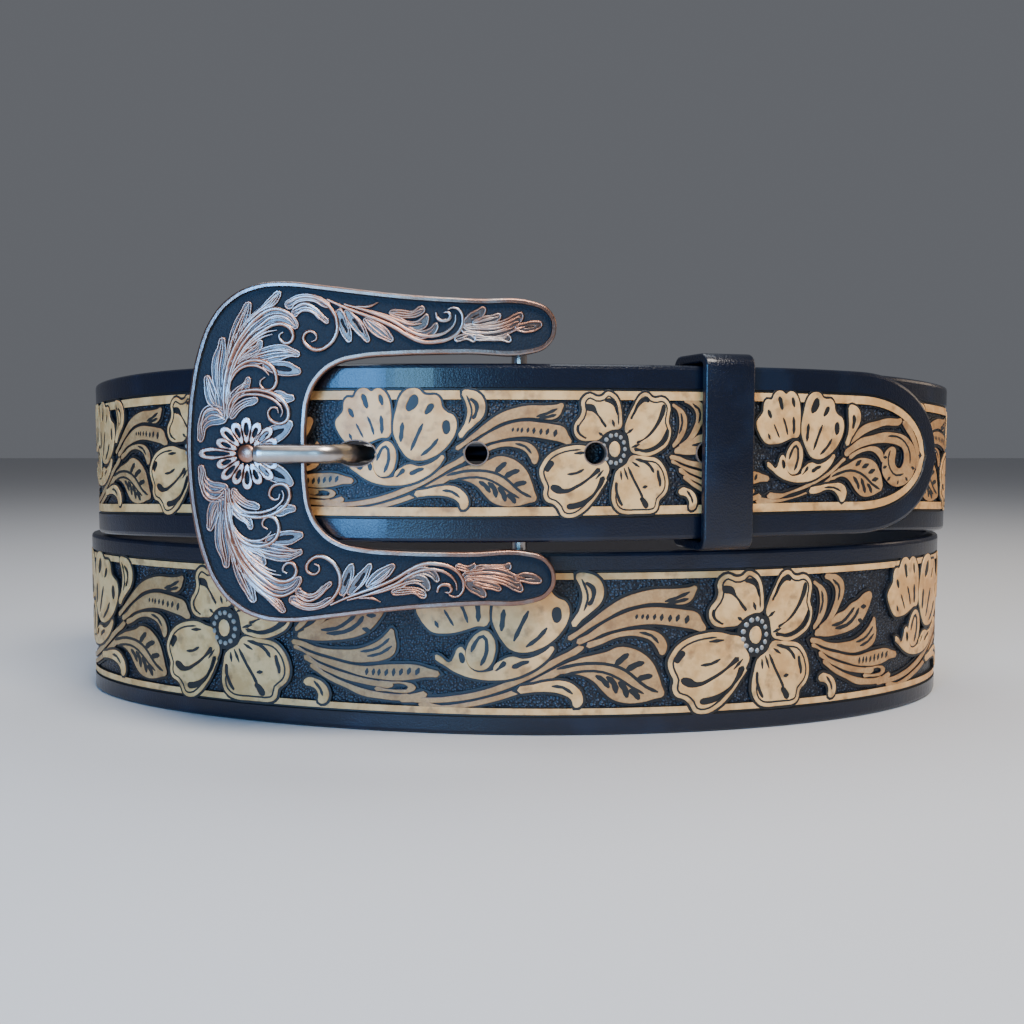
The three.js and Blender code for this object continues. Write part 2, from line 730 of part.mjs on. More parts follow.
function barGeometry() {
  const bar = punch(buckle.barDiameter, -barReach, barReach).rotateX(Math.PI / 2);
  return bar.applyMatrix4(buckleMatrix);
}

// The prong: a ring round the bar and a rounded shank that runs under the strap, up through the hole and onto the frame.
function prongGeometry() {
  const restHeight = rimTop + bow(-innerEdge) + prong.restGap + prong.thickness / 2;
  const hole = holeFromBar;
  const crossing = strapFaceAt(hole) - half;
  const underGap = strap.thickness + prong.underGap + prong.thickness / 2;
  const underHeight = Math.min(0, strapFaceAt(hole - 2 * prong.thickness) - underGap);
  const tip = -flowerChart.x * chartSquare - prong.tipFromFlower;
  const route = new THREE.CatmullRomCurve3(
    [
      new THREE.Vector3(-prong.thickness, 0, 0),
      new THREE.Vector3(-(hole - 4 * prong.thickness), 0, underHeight),
      new THREE.Vector3(-(hole - 2 * prong.thickness), 0, underHeight),
      new THREE.Vector3(-(hole - half), 0, crossing - half),
      new THREE.Vector3(-(hole + half), 0, crossing + half),
      new THREE.Vector3(-(hole + 0.53 * prong.rise), 0, mix(crossing, restHeight, 0.93)),
      new THREE.Vector3(-(hole + 0.95 * prong.rise), 0, restHeight),
      new THREE.Vector3(-tip, 0, restHeight),
    ],
    false,
    "centripetal",
  );
  const section = new THREE.Shape();
  section.absellipse(0, 0, prong.thickness / 2, prong.width / 2, 0, 2 * Math.PI);
  const shank = toSolid(
    new THREE.ExtrudeGeometry(section, { steps: 34, curveSegments: 5, extrudePath: route, bevelEnabled: false }),
  );
  const bore = buckle.barDiameter / 2 + prong.ringClearance;
  const ring = new THREE.Shape().absarc(0, 0, bore + prong.ringWall, 0, 2 * Math.PI);
  ring.holes.push(new THREE.Path().absarc(0, 0, bore, 0, 2 * Math.PI));
  const ringGeometry = new THREE.ExtrudeGeometry(ring, { depth: prong.width, bevelEnabled: false, curveSegments: 10 });
  ringGeometry.translate(0, 0, -prong.width / 2).rotateX(Math.PI / 2);
  const room = toSolid(punch(2 * bore, -prong.width, prong.width).rotateX(Math.PI / 2));
  return toGeometry(shank.add(toSolid(ringGeometry)).subtract(room)).applyMatrix4(buckleMatrix);
}

const belt = new THREE.Group();
belt.add(
  part("strap", strapGeometry(), leather),
  part("keeper", keeperGeometry(), plainLeather),
  part("buckle_frame", frameGeometry(), castMetal),
  part("buckle_bar", barGeometry(), steel),
  part("prong", prongGeometry(), steel),
  ...post.fromBar.map((fromBar, i) => part(`fold_post_${i + 1}`, foldPost(fromBar), steel)),
);

// The origin is the middle of the footprint.
const box = new THREE.Box3().setFromObject(belt);
const middle = box.getCenter(new THREE.Vector3());
belt.position.set(-middle.x, -middle.y, -box.min.z);

export default belt;
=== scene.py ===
# %% [markdown]
# # A western belt, dressed with its tooling
#
# The CAD part is the frame: a strap coiled in two turns, a keeper, and a C-shaped buckle with its bar
# and prong. This lesson adds what a leather worker and a founder add by hand: stamped ground, floral
# tooling, glossy borders, cast scrollwork and worn metal. Everything is worked out in millimetres and
# laid in metres.

import math

import bmesh
import bpy
import numpy as np
from mathutils import Matrix, Vector


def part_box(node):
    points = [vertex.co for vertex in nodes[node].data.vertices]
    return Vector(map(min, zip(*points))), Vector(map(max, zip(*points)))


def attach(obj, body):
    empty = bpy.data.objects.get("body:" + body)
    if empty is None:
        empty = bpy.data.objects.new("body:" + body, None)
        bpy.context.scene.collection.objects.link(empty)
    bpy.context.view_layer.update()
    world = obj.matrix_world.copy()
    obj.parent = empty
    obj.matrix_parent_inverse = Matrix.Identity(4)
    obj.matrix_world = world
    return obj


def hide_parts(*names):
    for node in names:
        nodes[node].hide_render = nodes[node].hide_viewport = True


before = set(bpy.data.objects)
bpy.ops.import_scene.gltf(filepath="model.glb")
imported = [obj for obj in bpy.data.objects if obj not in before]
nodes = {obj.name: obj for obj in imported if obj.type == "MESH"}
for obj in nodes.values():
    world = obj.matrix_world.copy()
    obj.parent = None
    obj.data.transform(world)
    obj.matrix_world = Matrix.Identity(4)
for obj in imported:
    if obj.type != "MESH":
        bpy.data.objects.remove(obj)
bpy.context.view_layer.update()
MM = 0.001
print(len(nodes), "parts in the frame")

# %% [markdown]
# ## The path of the strap
#
# A belt is cut flat, tooled flat and coiled last. The same order is followed here: each piece is drawn
# on the flat strap, as a distance along it, a distance across it and a height over its face, and one
# function then coils it. The path is the CAD's own: half ovals for the front and back of each turn, with
# a fold round the bar.

# %% Sizes shared with the CAD part
STRAP = {
    "end": 38, "body": 42, "taper": 120, "thick": 3.6, "gap": 0.4,
    "fold": 2.2, "fold_length": 68, "skive": 12,
}
BORDER = {"end": 5.6, "body": 4.7}
BAND = {"end": 2.1, "body": 1.7}
TIP = {"length": 29, "end_width": 4, "from_right": 13.4}
REACH = {"left_lower": 114.2, "left_upper": 110.2, "right_lower": 117, "right_upper": 119}
DEPTH = {"front": 70, "back_inner": 31, "back_outer": 37.5}
TURN_GAP = 0.8
BAR = {"from_middle": 3.2, "diameter": 3.4, "clearance": 0.25}
LUG = {"width": 7, "depth": 5.4, "gap": 0.7, "below_bar": 2.8, "room": 1}
KEEPER = {"width": 12, "wall": 2, "corner": 1.0, "seat": 0.6, "top": 0.7, "face": 0.9, "from_bar": 45}
PRONG = {"width": 4, "thick": 3, "rise": 10.5, "rest_gap": 0.4, "under_gap": 0.9, "ring_wall": 1.7}
HOLE = {"diameter": 4.8, "pitch": 25.4, "prong_long": 8.6, "prong_tall": 5.5}
HOLES_FROM_PRONG = (-1, 1, 2, 3)
SLOT = {"long": 26, "tall": 6.4}
POST_HOLE = 4.6
POSTS_FROM_BAR = (23, 61)
HALF = STRAP["thick"] / 2
STEP = STRAP["thick"] + STRAP["gap"]
WRAP = BAR["diameter"] / 2 + BAR["clearance"] + STRAP["fold"] / 2
LOWER_HEIGHT = STRAP["body"] / 2
UPPER_END = STRAP["body"] + TURN_GAP + STRAP["end"] / 2
UPPER_FRONT = STRAP["body"] + 2 * KEEPER["seat"] + KEEPER["wall"] + STRAP["end"] / 2
BAR_DEPTH = DEPTH["front"] - STEP - STRAP["fold"] / 2 - WRAP
LOWER_DEPTH = BAR_DEPTH - LUG["below_bar"] - LUG["room"]

# Each half oval: left reach, right reach, depth, side (-1 is the front), skew and squareness.
OVALS = {
    "tip": (REACH["left_upper"], REACH["right_upper"] + STEP, DEPTH["front"], -1, -0.14, 1.9),
    "lower": (REACH["left_lower"], REACH["right_lower"], LOWER_DEPTH, -1, 0.1, 1.9),
    "inner": (REACH["left_upper"], REACH["right_lower"], DEPTH["back_inner"], 1, 0, 2.3),
    "outer": (REACH["left_lower"], REACH["right_upper"], DEPTH["back_outer"], 1, 0, 2.3),
}


def smooth(value):
    share = np.clip(value, 0, 1)
    return share * share * (3 - 2 * share)


def mix(low, high, share):
    return low + (high - low) * share


# %% The middle line, coiled
def oval_point(name, turn, inset=0.0):
    """A place on a half oval's middle line, or this far inside it. turn goes from 0 at its left to 1."""
    left, right, depth, side, skew, square = OVALS[name]

    def place(t):
        cosine, sine = np.cos(np.pi * t), np.sin(np.pi * t)
        across = -np.sign(cosine) * np.abs(cosine) ** (2 / square)
        deep = (depth - HALF) * np.maximum(0, sine) ** (2 / square) * (1 + skew * across)
        return np.stack([across * (np.where(cosine > 0, left, right) - HALF), side * deep], -1)

    along = place(np.minimum(1, turn + 1e-4)) - place(np.maximum(0, turn - 1e-4))
    along /= np.linalg.norm(along, axis=-1, keepdims=True)
    inward = np.stack([-along[..., 1], along[..., 0]], -1)
    return place(turn) + inward * (-side * np.asarray(inset))[..., None]


def front_level(turn):
    """The upper turn stands higher at the buckle than at its ends, because the keeper carries it there."""
    return mix(UPPER_END, UPPER_FRONT, smooth((np.sin(np.pi * turn) - 0.15) / 0.74))


def crossing(turn):
    """How far the strap has climbed or sunk where its two turns change places at the back."""
    return smooth((turn - 0.2) / 0.6)


def oval_line(name, start, end, height, inset=0.0):
    turn = np.linspace(start, end, 401)
    return np.column_stack([oval_point(name, turn, inset), height(turn) + 0 * turn])


def turn_at(name, x):
    turn = np.linspace(0, 1, 20001)
    return float(np.interp(x, oval_point(name, turn)[:, 0], turn))


class Line:
    """A line of points that can be asked for the place, direction and outward side at any distance."""

    def __init__(self, points):
        self.points = np.asarray(points)
        steps = np.linalg.norm(np.diff(self.points, axis=0), axis=1)
        self.distance = np.concatenate([[0], np.cumsum(steps)])
        self.length = self.distance[-1]

    def at(self, s):
        first = (self.points[1] - self.points[0]) / self.distance[1]
        last = (self.points[-1] - self.points[-2]) / (self.distance[-1] - self.distance[-2])
        inside = np.stack([np.interp(s, self.distance, self.points[:, i]) for i in range(3)], -1)
        before = np.minimum(0, s)[..., None] * first
        after = np.maximum(0, s - self.length)[..., None] * last
        return inside + before + after

    def frame(self, s):
        s = np.asarray(s, float)
        along = self.at(s + 0.4) - self.at(s - 0.4)
        along /= np.linalg.norm(along, axis=-1, keepdims=True)
        normal = np.stack([along[..., 1], -along[..., 0], 0 * along[..., 0]], -1)
        normal /= np.linalg.norm(normal, axis=-1, keepdims=True)
        return self.at(s), along, normal, np.cross(normal, along)

# %% The bar, the fold and the whole path
bar_turn = turn_at("tip", BAR["from_middle"])
tip_turn = turn_at("tip", REACH["right_upper"] - TIP["from_right"])


def under_thickness(from_bar):
    return mix(STRAP["fold"], STRAP["thick"], smooth(from_bar / STRAP["skive"]))


tip_room = Line(oval_line("tip", bar_turn, 1, front_level))
under_inset = HALF + STRAP["gap"] + under_thickness(tip_room.distance) / 2
under = Line(oval_line("tip", bar_turn, 1, front_level, under_inset))
_, bar_along, bar_normal, _ = under.frame(0.5)
bar_axis = under.at(np.array(0.0)) - bar_normal * WRAP

fold_from = np.linspace(STRAP["fold_length"], 0, 61)
fold_gap = (under_thickness(fold_from) + STRAP["fold"]) / 2 + STRAP["gap"]
fold_off = mix(2 * WRAP, fold_gap, smooth(fold_from / (1.5 * STRAP["skive"])))
fold_line = under.at(fold_from) - under.frame(np.maximum(0.5, fold_from))[2] * fold_off[:, None]
angle = np.pi * np.arange(1, 16)[:, None] / 16
wrap_line = bar_axis - bar_normal * np.cos(angle) * WRAP - bar_along * np.sin(angle) * WRAP

outer_pass = oval_line("outer", 1, 0, lambda t: mix(LOWER_HEIGHT, UPPER_END, crossing(t)))
inner_pass = oval_line("inner", 1, 0, lambda t: mix(UPPER_END, LOWER_HEIGHT, crossing(t)))
lower_front = oval_line("lower", 0, 1, lambda t: LOWER_HEIGHT)
tip_front = oval_line("tip", 0, tip_turn, front_level)
whole = [fold_line, wrap_line, under.points, outer_pass[1:], lower_front[1:], inner_pass[1:], tip_front[1:]]
middle = Line(np.vstack(whole))

# %% Landmarks along the strap
wrap_end = STRAP["fold_length"] + math.pi * WRAP
bar_on_tip = middle.length - Line(oval_line("tip", bar_turn, tip_turn, front_level)).length
outer_middle = wrap_end + under.length + Line(outer_pass).length / 2
lower_start = wrap_end + under.length + Line(outer_pass).length
lower_end = lower_start + Line(lower_front).length
upper_left = Line(oval_line("tip", 0, bar_turn, front_level))
inner_middle = bar_on_tip - upper_left.length - Line(inner_pass).length / 2
tip_start = middle.length - TIP["length"]
chart_square = (STRAP["end"] / 2 + 1.4) / 98
inner_edge = 220 * chart_square
hole_from_bar = inner_edge - PRONG["rise"]
prong_hole = bar_on_tip - hole_from_bar

# The CAD part stands on the middle of its footprint, which moves this path by a fixed amount.
steps = np.linspace(0, middle.length, 4000)
own = middle.at(steps) + middle.frame(steps)[2] * HALF
strap_low, strap_high = (np.array(corner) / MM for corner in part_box("strap"))
shift = (strap_low + strap_high - own.min(axis=0) - own.max(axis=0)) / 2 * (1, 1, 0)

# %% Its width, its thickness and the coil
def widened(s):
    """0 on the narrow ends, 1 on the wide body."""
    reach = STRAP["taper"]
    return smooth((s - outer_middle) / reach + 0.5) - smooth((s - inner_middle) / reach + 0.5)


def full_width(s):
    return mix(STRAP["end"], STRAP["body"], widened(s))


def thickness_at(s):
    return np.where(s < wrap_end, STRAP["fold"], under_thickness(s - wrap_end))


def coil(flat):
    """Takes flat points (distance, across, height over the face) to the coiled belt, in metres."""
    flat = np.asarray(flat, float)
    point, _, normal, up = middle.frame(flat[:, 0])
    out = flat[:, 2] + thickness_at(flat[:, 0]) / 2
    return (point + up * flat[:, 1:2] + normal * out[:, None] + shift) * MM


print("strap path", round(middle.length, 1), "mm, shifted by", np.round(shift, 3))

# %% [markdown]
# ## The stage
#
# The camera stands where the photographer stood: a little above the belt's middle, close enough for the
# two ends to turn away from it. Soft boxes over and beside the belt put broad light on the leather and
# long lights on the metal.

# %% Camera and soft boxes
camera_data = bpy.data.cameras.new("camera")
camera = bpy.data.objects.new("camera", camera_data)
bpy.context.collection.objects.link(camera)
camera_data.lens = 38.14
camera_data.sensor_width = 36
camera_data.clip_end = 20
camera.location = (-1.45 * MM, -279.9 * MM, 68 * MM)
camera.rotation_euler = (math.radians(90 - 4.03), 0, 0)
bpy.context.scene.camera = camera


def add_light(name, place, target, size, power, color, tall=None):
    data = bpy.data.lights.new(name, "AREA")
    data.shape = "RECTANGLE"
    data.size = size
    data.size_y = tall or size
    data.energy = power
    data.color = color
    light = bpy.data.objects.new(name, data)
    bpy.context.collection.objects.link(light)
    light.location = place
    light.rotation_euler = (Vector(target) - Vector(place)).to_track_quat("-Z", "Y").to_euler()


aim = (0, 0, 0.05)
add_light("key box", (0.2, -0.4, 0.6), aim, 0.26, 6.0, (1.0, 0.92, 0.82))
add_light("right box", (0.62, 0.16, 0.3), aim, 0.24, 0.6, (1.0, 0.78, 0.58), 0.3)
add_light("left box", (-0.25, -0.53, 0.13), aim, 0.12, 3.2, (0.12, 0.42, 1.0), 0.26)
add_light("window box", (-0.13, -0.56, 0.13), aim, 0.1, 0.9, (0.3, 0.7, 1.0), 0.2)
add_light("top box", (-0.05, 0.12, 0.7), aim, 0.5, 3, (0.9, 0.95, 1.0))
print("camera and", len(bpy.data.lights), "soft boxes")

# %% Floor and room light
floor_mesh = bpy.data.meshes.new("floor")
grid = bmesh.new()
bmesh.ops.create_grid(grid, x_segments=1, y_segments=1, size=3)
grid.to_mesh(floor_mesh)
grid.free()
floor = bpy.data.objects.new("floor", floor_mesh)
bpy.context.collection.objects.link(floor)

world = bpy.data.worlds.new("room")
world.use_nodes = True
world.node_tree.nodes["Background"].inputs["Color"].default_value = (0.86, 0.9, 1.0, 1)
world.node_tree.nodes["Background"].inputs["Strength"].default_value = 0.15
bpy.context.scene.world = world
print("floor and room light are set")

# %% [markdown]
# ## Finishes
#
# Every finish is a mix of a few plain textures on the object's own coordinates. A small class lets
# sockets be added and multiplied like numbers, so each finish reads as one recipe.


# %% A socket that takes arithmetic
class Socket:
    """An output of a shader node that can be added, subtracted, multiplied and compared."""

    def __init__(self, tree, socket):
        self.tree = tree
        self.socket = socket

    def math(self, operation, first, second):
        node = self.tree.nodes.new("ShaderNodeMath")
        node.operation = operation
        feed(self.tree, node.inputs[0], first)
        feed(self.tree, node.inputs[1], second)
        return Socket(self.tree, node.outputs[0])

    def __add__(self, other):
        return self.math("ADD", self, other)

    def __radd__(self, other):
        return self.math("ADD", other, self)

    def __sub__(self, other):
        return self.math("SUBTRACT", self, other)

    def __rsub__(self, other):
        return self.math("SUBTRACT", other, self)

    def __mul__(self, other):
        return self.math("MULTIPLY", self, other)

    def __rmul__(self, other):
        return self.math("MULTIPLY", other, self)


def feed(tree, socket, value):
    if isinstance(value, Socket):
        tree.links.new(value.socket, socket)
    elif isinstance(value, (tuple, list)) and len(value) == 3 and len(socket.default_value) == 4:
        socket.default_value = (*value, 1)
    else:
        socket.default_value = value

# %% A finish as a recipe
class Finish:
    """One material. node() adds any node, and set() feeds the surface."""

    def __init__(self, name):
        self.material = bpy.data.materials.new(name)
        self.material.use_nodes = True
        self.tree = self.material.node_tree
        self.surface = self.tree.nodes["Principled BSDF"]
        self.place = self.node("ShaderNodeTexCoord", output="Object")

    def node(self, kind, output=0, settings=None, **inputs):
        node = self.tree.nodes.new(kind)
        for name, value in (settings or {}).items():
            setattr(node, name, value)
        for name, value in inputs.items():
            feed(self.tree, node.inputs[name.replace("_", " ")], value)
        return Socket(self.tree, node.outputs[output])

    def noise(self, size_mm, detail=2.0, roughness=0.5):
        look = {"Scale": 1 / (size_mm * MM), "Detail": detail, "Roughness": roughness}
        return self.node("ShaderNodeTexNoise", Vector=self.place, **look)

    def cells(self, size_mm, feature="F1", randomness=1.0):
        settings = {"feature": feature}
        look = {"Scale": 1 / (size_mm * MM), "Randomness": randomness}
        return self.node("ShaderNodeTexVoronoi", "Distance", settings, Vector=self.place, **look)

    def ramp(self, value, low, high, to_low=0.0, to_high=1.0):
        node = self.tree.nodes.new("ShaderNodeMapRange")
        node.interpolation_type = "SMOOTHSTEP"
        for socket, number in zip(node.inputs, (value, low, high, to_low, to_high)):
            feed(self.tree, socket, number)
        return Socket(self.tree, node.outputs[0])

    def blend(self, share, first, second):
        node = self.tree.nodes.new("ShaderNodeMix")
        node.data_type = "RGBA"
        feed(self.tree, node.inputs["Factor"], share)
        feed(self.tree, node.inputs[6], first)
        feed(self.tree, node.inputs[7], second)
        return Socket(self.tree, node.outputs[2])

    def bump(self, height, depth_mm, strength=1.0):
        return self.node("ShaderNodeBump", Height=height, Distance=depth_mm * MM, Strength=strength)

    def set(self, **inputs):
        for name, value in inputs.items():
            feed(self.tree, self.surface.inputs[name.replace("_", " ")], value)

# %% Leather finishes
NAVY = (0.003, 0.005, 0.012)
BLACK = (0.004, 0.005, 0.009)
TAN = (0.6, 0.3, 0.1)
PALE_TAN = (0.78, 0.44, 0.175)
BROWN = (0.22, 0.1, 0.04)


def floor_finish():
    finish = Finish("pale floor")
    finish.set(Base_Color=(0.62, 0.62, 0.63), Roughness=0.6)
    return finish.material


def border_finish(name, gloss=0.26, grain_depth=0.075):
    """Dark blue-black leather under a glossy finish, with a fine grain and a few soft wear marks."""
    finish = Finish(name)
    grain = finish.cells(0.42)
    pores = finish.noise(0.9, 4, 0.6)
    wear = finish.ramp(finish.noise(14, 3), 0.5, 0.72)
    finish.set(Base_Color=finish.blend(wear, NAVY, (0.005, 0.01, 0.022)))
    finish.set(Roughness=gloss + pores * 0.1, Coat_Weight=0.35, Coat_Roughness=0.1, Specular_IOR_Level=0.25)
    finish.set(Normal=finish.bump(grain * 0.6 + pores * 0.6, grain_depth, 0.9))
    return finish.material


def ground_finish():
    """The ground between the leaves: stamped with a fine matting tool, then stained blue-black. Its pale bead
    tops and black pits are partly stain and partly painted shade that follows the stamps.
    """
    finish = Finish("stamped ground")
    beads = finish.cells(0.66, randomness=0.85)
    patches = finish.noise(6, 3)
    light = finish.blend(finish.ramp(patches, 0.35, 0.65), (0.075, 0.09, 0.12), (0.035, 0.045, 0.065))
    # Partly painted shade: the pits between the bead tops go black, part stain and part shade over the
    # stamped relief.
    finish.set(Base_Color=finish.blend(finish.ramp(beads, 0.12, 0.42), light, BLACK))
    finish.set(Roughness=0.42, Coat_Weight=0.1, Coat_Roughness=0.25, Specular_IOR_Level=0.35)
    finish.set(Normal=finish.bump(1.0 - beads, 0.3, 1.0))
    return finish.material


def tan_finish():
    """Raised leather: tan on top, brown where the antique stays, almost black down the cut sides."""
    finish = Finish("tan tooling")
    level = finish.node("ShaderNodeAttribute", "Fac", {"attribute_name": "level"})
    mottle = finish.noise(5.5, 4, 0.6)
    fine = finish.noise(0.7, 3, 0.6)
    tan = finish.blend(finish.ramp(mottle, 0.35, 0.62), TAN, PALE_TAN)
    worn = finish.blend(finish.ramp(finish.noise(3.2, 3), 0.52, 0.74, 0, 0.65), tan, BROWN)
    edge = finish.blend(finish.ramp(level, 0.55, 0.8), BLACK, BROWN)
    finish.set(Base_Color=finish.blend(finish.ramp(level + fine * 0.1, 0.78, 1.0), edge, worn))
    finish.set(Roughness=0.42 + fine * 0.15, Coat_Weight=0.1, Coat_Roughness=0.2, Specular_IOR_Level=0.3)
    finish.set(Normal=finish.bump(fine, 0.03, 0.6))
    return finish.material

# %% Plain and metal finishes
def plain_finish(name, color, roughness, metallic=0.0, grain=0.8, shade_from=None):
    """One colour with a soft grain. To the right of an optional x, in metres, it is painted black: the shade
    where it runs under the leather.
    """
    finish = Finish(name)
    texture = finish.noise(grain, 3)
    shade = finish.blend(texture, tuple(channel * 0.6 for channel in color), color)
    if shade_from is not None:
        # Painted shade: black to the right of the given x, where the part lies under the leather.
        across = finish.node("ShaderNodeSeparateXYZ", "X", Vector=finish.place)
        shade = finish.blend(finish.ramp(across, shade_from, shade_from + 5 * MM), shade, BLACK)
    finish.set(Base_Color=shade, Roughness=roughness, Metallic=metallic)
    finish.set(Normal=finish.bump(texture, 0.02, 0.5))
    return finish.material


def metal_finish(name, low, high, recess, roughness):
    """Cast metal: black in its recesses, bronze on low forms and rubbed bright where it stands proud."""
    finish = Finish(name)
    level = finish.node("ShaderNodeAttribute", "Fac", {"attribute_name": "level"})
    pits = finish.noise(0.5, 4, 0.6)
    patches = finish.noise(9, 3)
    grime = finish.noise(1.6, 4, 0.65)
    bright = finish.blend(finish.ramp(patches, 0.46, 0.64), low, high)
    bronze = finish.blend(grime, (0.05, 0.035, 0.03), (0.24, 0.17, 0.15))
    worn = finish.blend(finish.ramp(level + pits * 0.15, 0.6, 0.95), bronze, bright)
    finish.set(Base_Color=finish.blend(finish.ramp(level + grime * 0.2, 0.2, 0.62), recess, worn))
    finish.set(Metallic=finish.ramp(level, 0.05, 0.4, 0.0, 1.0), Specular_IOR_Level=0.12)
    finish.set(Roughness=finish.ramp(level, 0.1, 0.6, 0.45, roughness) + pits * 0.18)
    dots = finish.ramp(level, 0.0, 0.3, 1.0, 0.0) * finish.cells(0.55, randomness=0.9)
    finish.set(Normal=finish.bump(pits + grime * 0.8 - dots * 2.0, 0.07, 0.8))
    return finish.material


floor.data.materials.append(floor_finish())
leather_border = border_finish("glossy border")
leather_ground = ground_finish()
leather_tan = tan_finish()
leather_dark = plain_finish("cut line", (0.008, 0.007, 0.007), 0.5)
leather_back = plain_finish("strap lining", (0.03, 0.03, 0.038), 0.6)
# Painted highlight: the beads are dark glossy leather, coloured pale grey for the shine they catch.
bead_highlight_finish = plain_finish("beads with painted highlight", (0.34, 0.31, 0.27), 0.25)
leather_rim = plain_finish("punched rim", (0.2, 0.13, 0.09), 0.5)
print(len(bpy.data.materials), "finishes")

# %% [markdown]
# ## The strap
#
# The strap is one length of heavy leather. Its edges are rounded and burnished and its borders are
# smooth and glossy. A narrow tan band runs inside each border, and the ground between the bands is
# pressed down with a matting stamp. One section is extruded from station to station along the flat
# strap, which is then punched and coiled.


# %% The flat strap
GROUND = -0.85
BORDER_FACE, BAND_FACE, GROUND_FACE, CUT_FACE, LINING_FACE = range(5)
ROW_FINISH = [BORDER_FACE] * 4 + [CUT_FACE] * 3 + [BAND_FACE, CUT_FACE, GROUND_FACE]


def rows_at(s):
    """Half-widths and heights of the section's rows at distance s, from its edge to its middle."""
    full = full_width(s)
    border = mix(BORDER["end"], BORDER["body"], widened(s))
    within = border + mix(BAND["end"], BAND["body"], widened(s))
    ground = -0.45 if s < wrap_end else GROUND
    insets = [0, 0.12, 0.45, 1.0, border - 0.55, border - 0.35, border - 0.05, border + 0.12]
    insets += [within - 0.12, within + 0.05, within + 0.3]
    heights = [-0.95, -0.45, -0.12, 0, 0, -0.4, -0.4, -0.1, -0.1, ground, ground]
    into_tip = max(0.0, s - tip_start)
    reaches = []
    for inset in insets:
        length = TIP["length"] - inset
        share = 1 - (into_tip / length) ** 2 if into_tip < length else 0
        reaches.append((full / 2 - inset) * math.sqrt(max(0, share)))
    least = TIP["end_width"] / 2
    reaches = [max(reach, least - 0.3 * i if i < 4 else 0) for i, reach in enumerate(reaches)]
    last_open = max(i for i, reach in enumerate(reaches) if reach > 0)
    heights = [height if i <= last_open else heights[min(last_open, 4)] for i, height in enumerate(heights)]
    return reaches, heights


def stations():
    """Distances at which the section is set: close together round the bar and at the tip."""
    fold = np.arange(0, STRAP["fold_length"], 5)
    wrap = np.arange(STRAP["fold_length"], wrap_end + 1, 0.6)
    long = np.arange(wrap_end + 2, tip_start, 2.0)
    tip = tip_start + TIP["length"] * np.sin(np.linspace(0, np.pi / 2, 26))
    lines = [middle.length - inset + step for inset in (5.3, 5.6, 7.7, 8.0) for step in (-0.12, 0.02)]
    return sorted({round(float(s), 3) for s in [*fold, *wrap, *long, *tip, *lines]})


def flat_section(s):
    """The closed outline of the strap's section: up its face, then back over its other side."""
    reaches, heights = rows_at(s)
    thick = float(thickness_at(np.array(s)))
    lower = [(-reach, height) for reach, height in zip(reaches, heights)]
    upper = [(reach, height) for reach, height in zip(reaches[::-1], heights[::-1])]
    edge = reaches[0]
    back = [(edge, -thick + 0.9), (edge - 0.6, -thick + 0.1), (edge - 1.4, -thick)]
    back += [(-edge + 1.4, -thick), (-edge + 0.6, -thick + 0.1), (-edge, -thick + 0.9)]
    return lower + upper + back


def flat_strap():
    mesh = bmesh.new()
    places = stations()
    section = flat_section(places[0])
    count = len(section)
    loop = [mesh.verts.new((places[0], across, height)) for across, height in section]
    edges = [mesh.edges.new((loop[i], loop[(i + 1) % count])) for i in range(count)]
    bmesh.ops.contextual_create(mesh, geom=edges)
    finishes = [*ROW_FINISH, GROUND_FACE, *reversed(ROW_FINISH)]
    finishes += [BORDER_FACE] * 2 + [LINING_FACE] * 4 + [BORDER_FACE]
    for s in places[1:]:
        drawn = bmesh.ops.extrude_edge_only(mesh, edges=edges)["geom"]
        section = flat_section(s)
        fresh = []
        for old in loop:
            fresh.append(next(v for e in old.link_edges for v in [e.other_vert(old)] if v in drawn))
        edges = [mesh.edges.get((fresh[i], fresh[(i + 1) % count])) for i in range(count)]
        for vertex, (across, height) in zip(fresh, section):
            vertex.co = (s, across, height)
        for edge, finish in zip(edges, finishes):
            for face in edge.link_faces:
                face.material_index = finish
        loop = fresh
    bmesh.ops.contextual_create(mesh, geom=edges)
    bmesh.ops.remove_doubles(mesh, verts=mesh.verts, dist=0.004)
    bmesh.ops.recalc_face_normals(mesh, faces=mesh.faces)
    return mesh

# %% Punch and coil a flat piece
def mesh_object(name, mesh, materials):
    data = bpy.data.meshes.new(name)
    mesh.to_mesh(data)
    mesh.free()
    thing = bpy.data.objects.new(name, data)
    bpy.context.collection.objects.link(thing)
    for material in materials:
        data.materials.append(material)
    return thing


def cut_away(thing, cutters):
    """Subtracts each cutter from a flat piece and drops the cutters."""
    for cutter in cutters:
        change = thing.modifiers.new("cut", "BOOLEAN")
        change.operation = "DIFFERENCE"
        change.solver = "EXACT"
        change.object = cutter
    graph = bpy.context.evaluated_depsgraph_get()
    done = bpy.data.meshes.new_from_object(thing.evaluated_get(graph))
    thing.modifiers.clear()
    thing.data = done
    for cutter in cutters:
        bpy.data.objects.remove(cutter)


def hole_cutter(s, long, tall):
    mesh = bmesh.new()
    place = Matrix.Translation((s, 0, -2)) @ Matrix.Diagonal((long, tall, 1, 1))
    bmesh.ops.create_cone(mesh, cap_ends=True, segments=28, radius1=0.5, radius2=0.5, depth=14, matrix=place)
    return mesh_object("hole", mesh, [leather_dark])


def places_of(data):
    """A mesh's vertices as rows of x, y and z."""
    flat = np.zeros(len(data.vertices) * 3)
    data.vertices.foreach_get("co", flat)
    return flat.reshape(-1, 3)


def coil_mesh(thing, level_top, level_depth):
    """Notes how deep each vertex lies in the attribute level, then coils the mesh."""
    data = thing.data
    flat = places_of(data)
    level = data.attributes.new("level", "FLOAT", "POINT")
    level.data.foreach_set("value", np.clip(1 + (flat[:, 2] - level_top) / level_depth, 0, 1))
    data.vertices.foreach_set("co", coil(flat).astype(np.float32).ravel())
    data.update()

# %% The strap
strap = mesh_object(
    "tooled_strap", flat_strap(), [leather_border, leather_tan, leather_ground, leather_dark, leather_back]
)

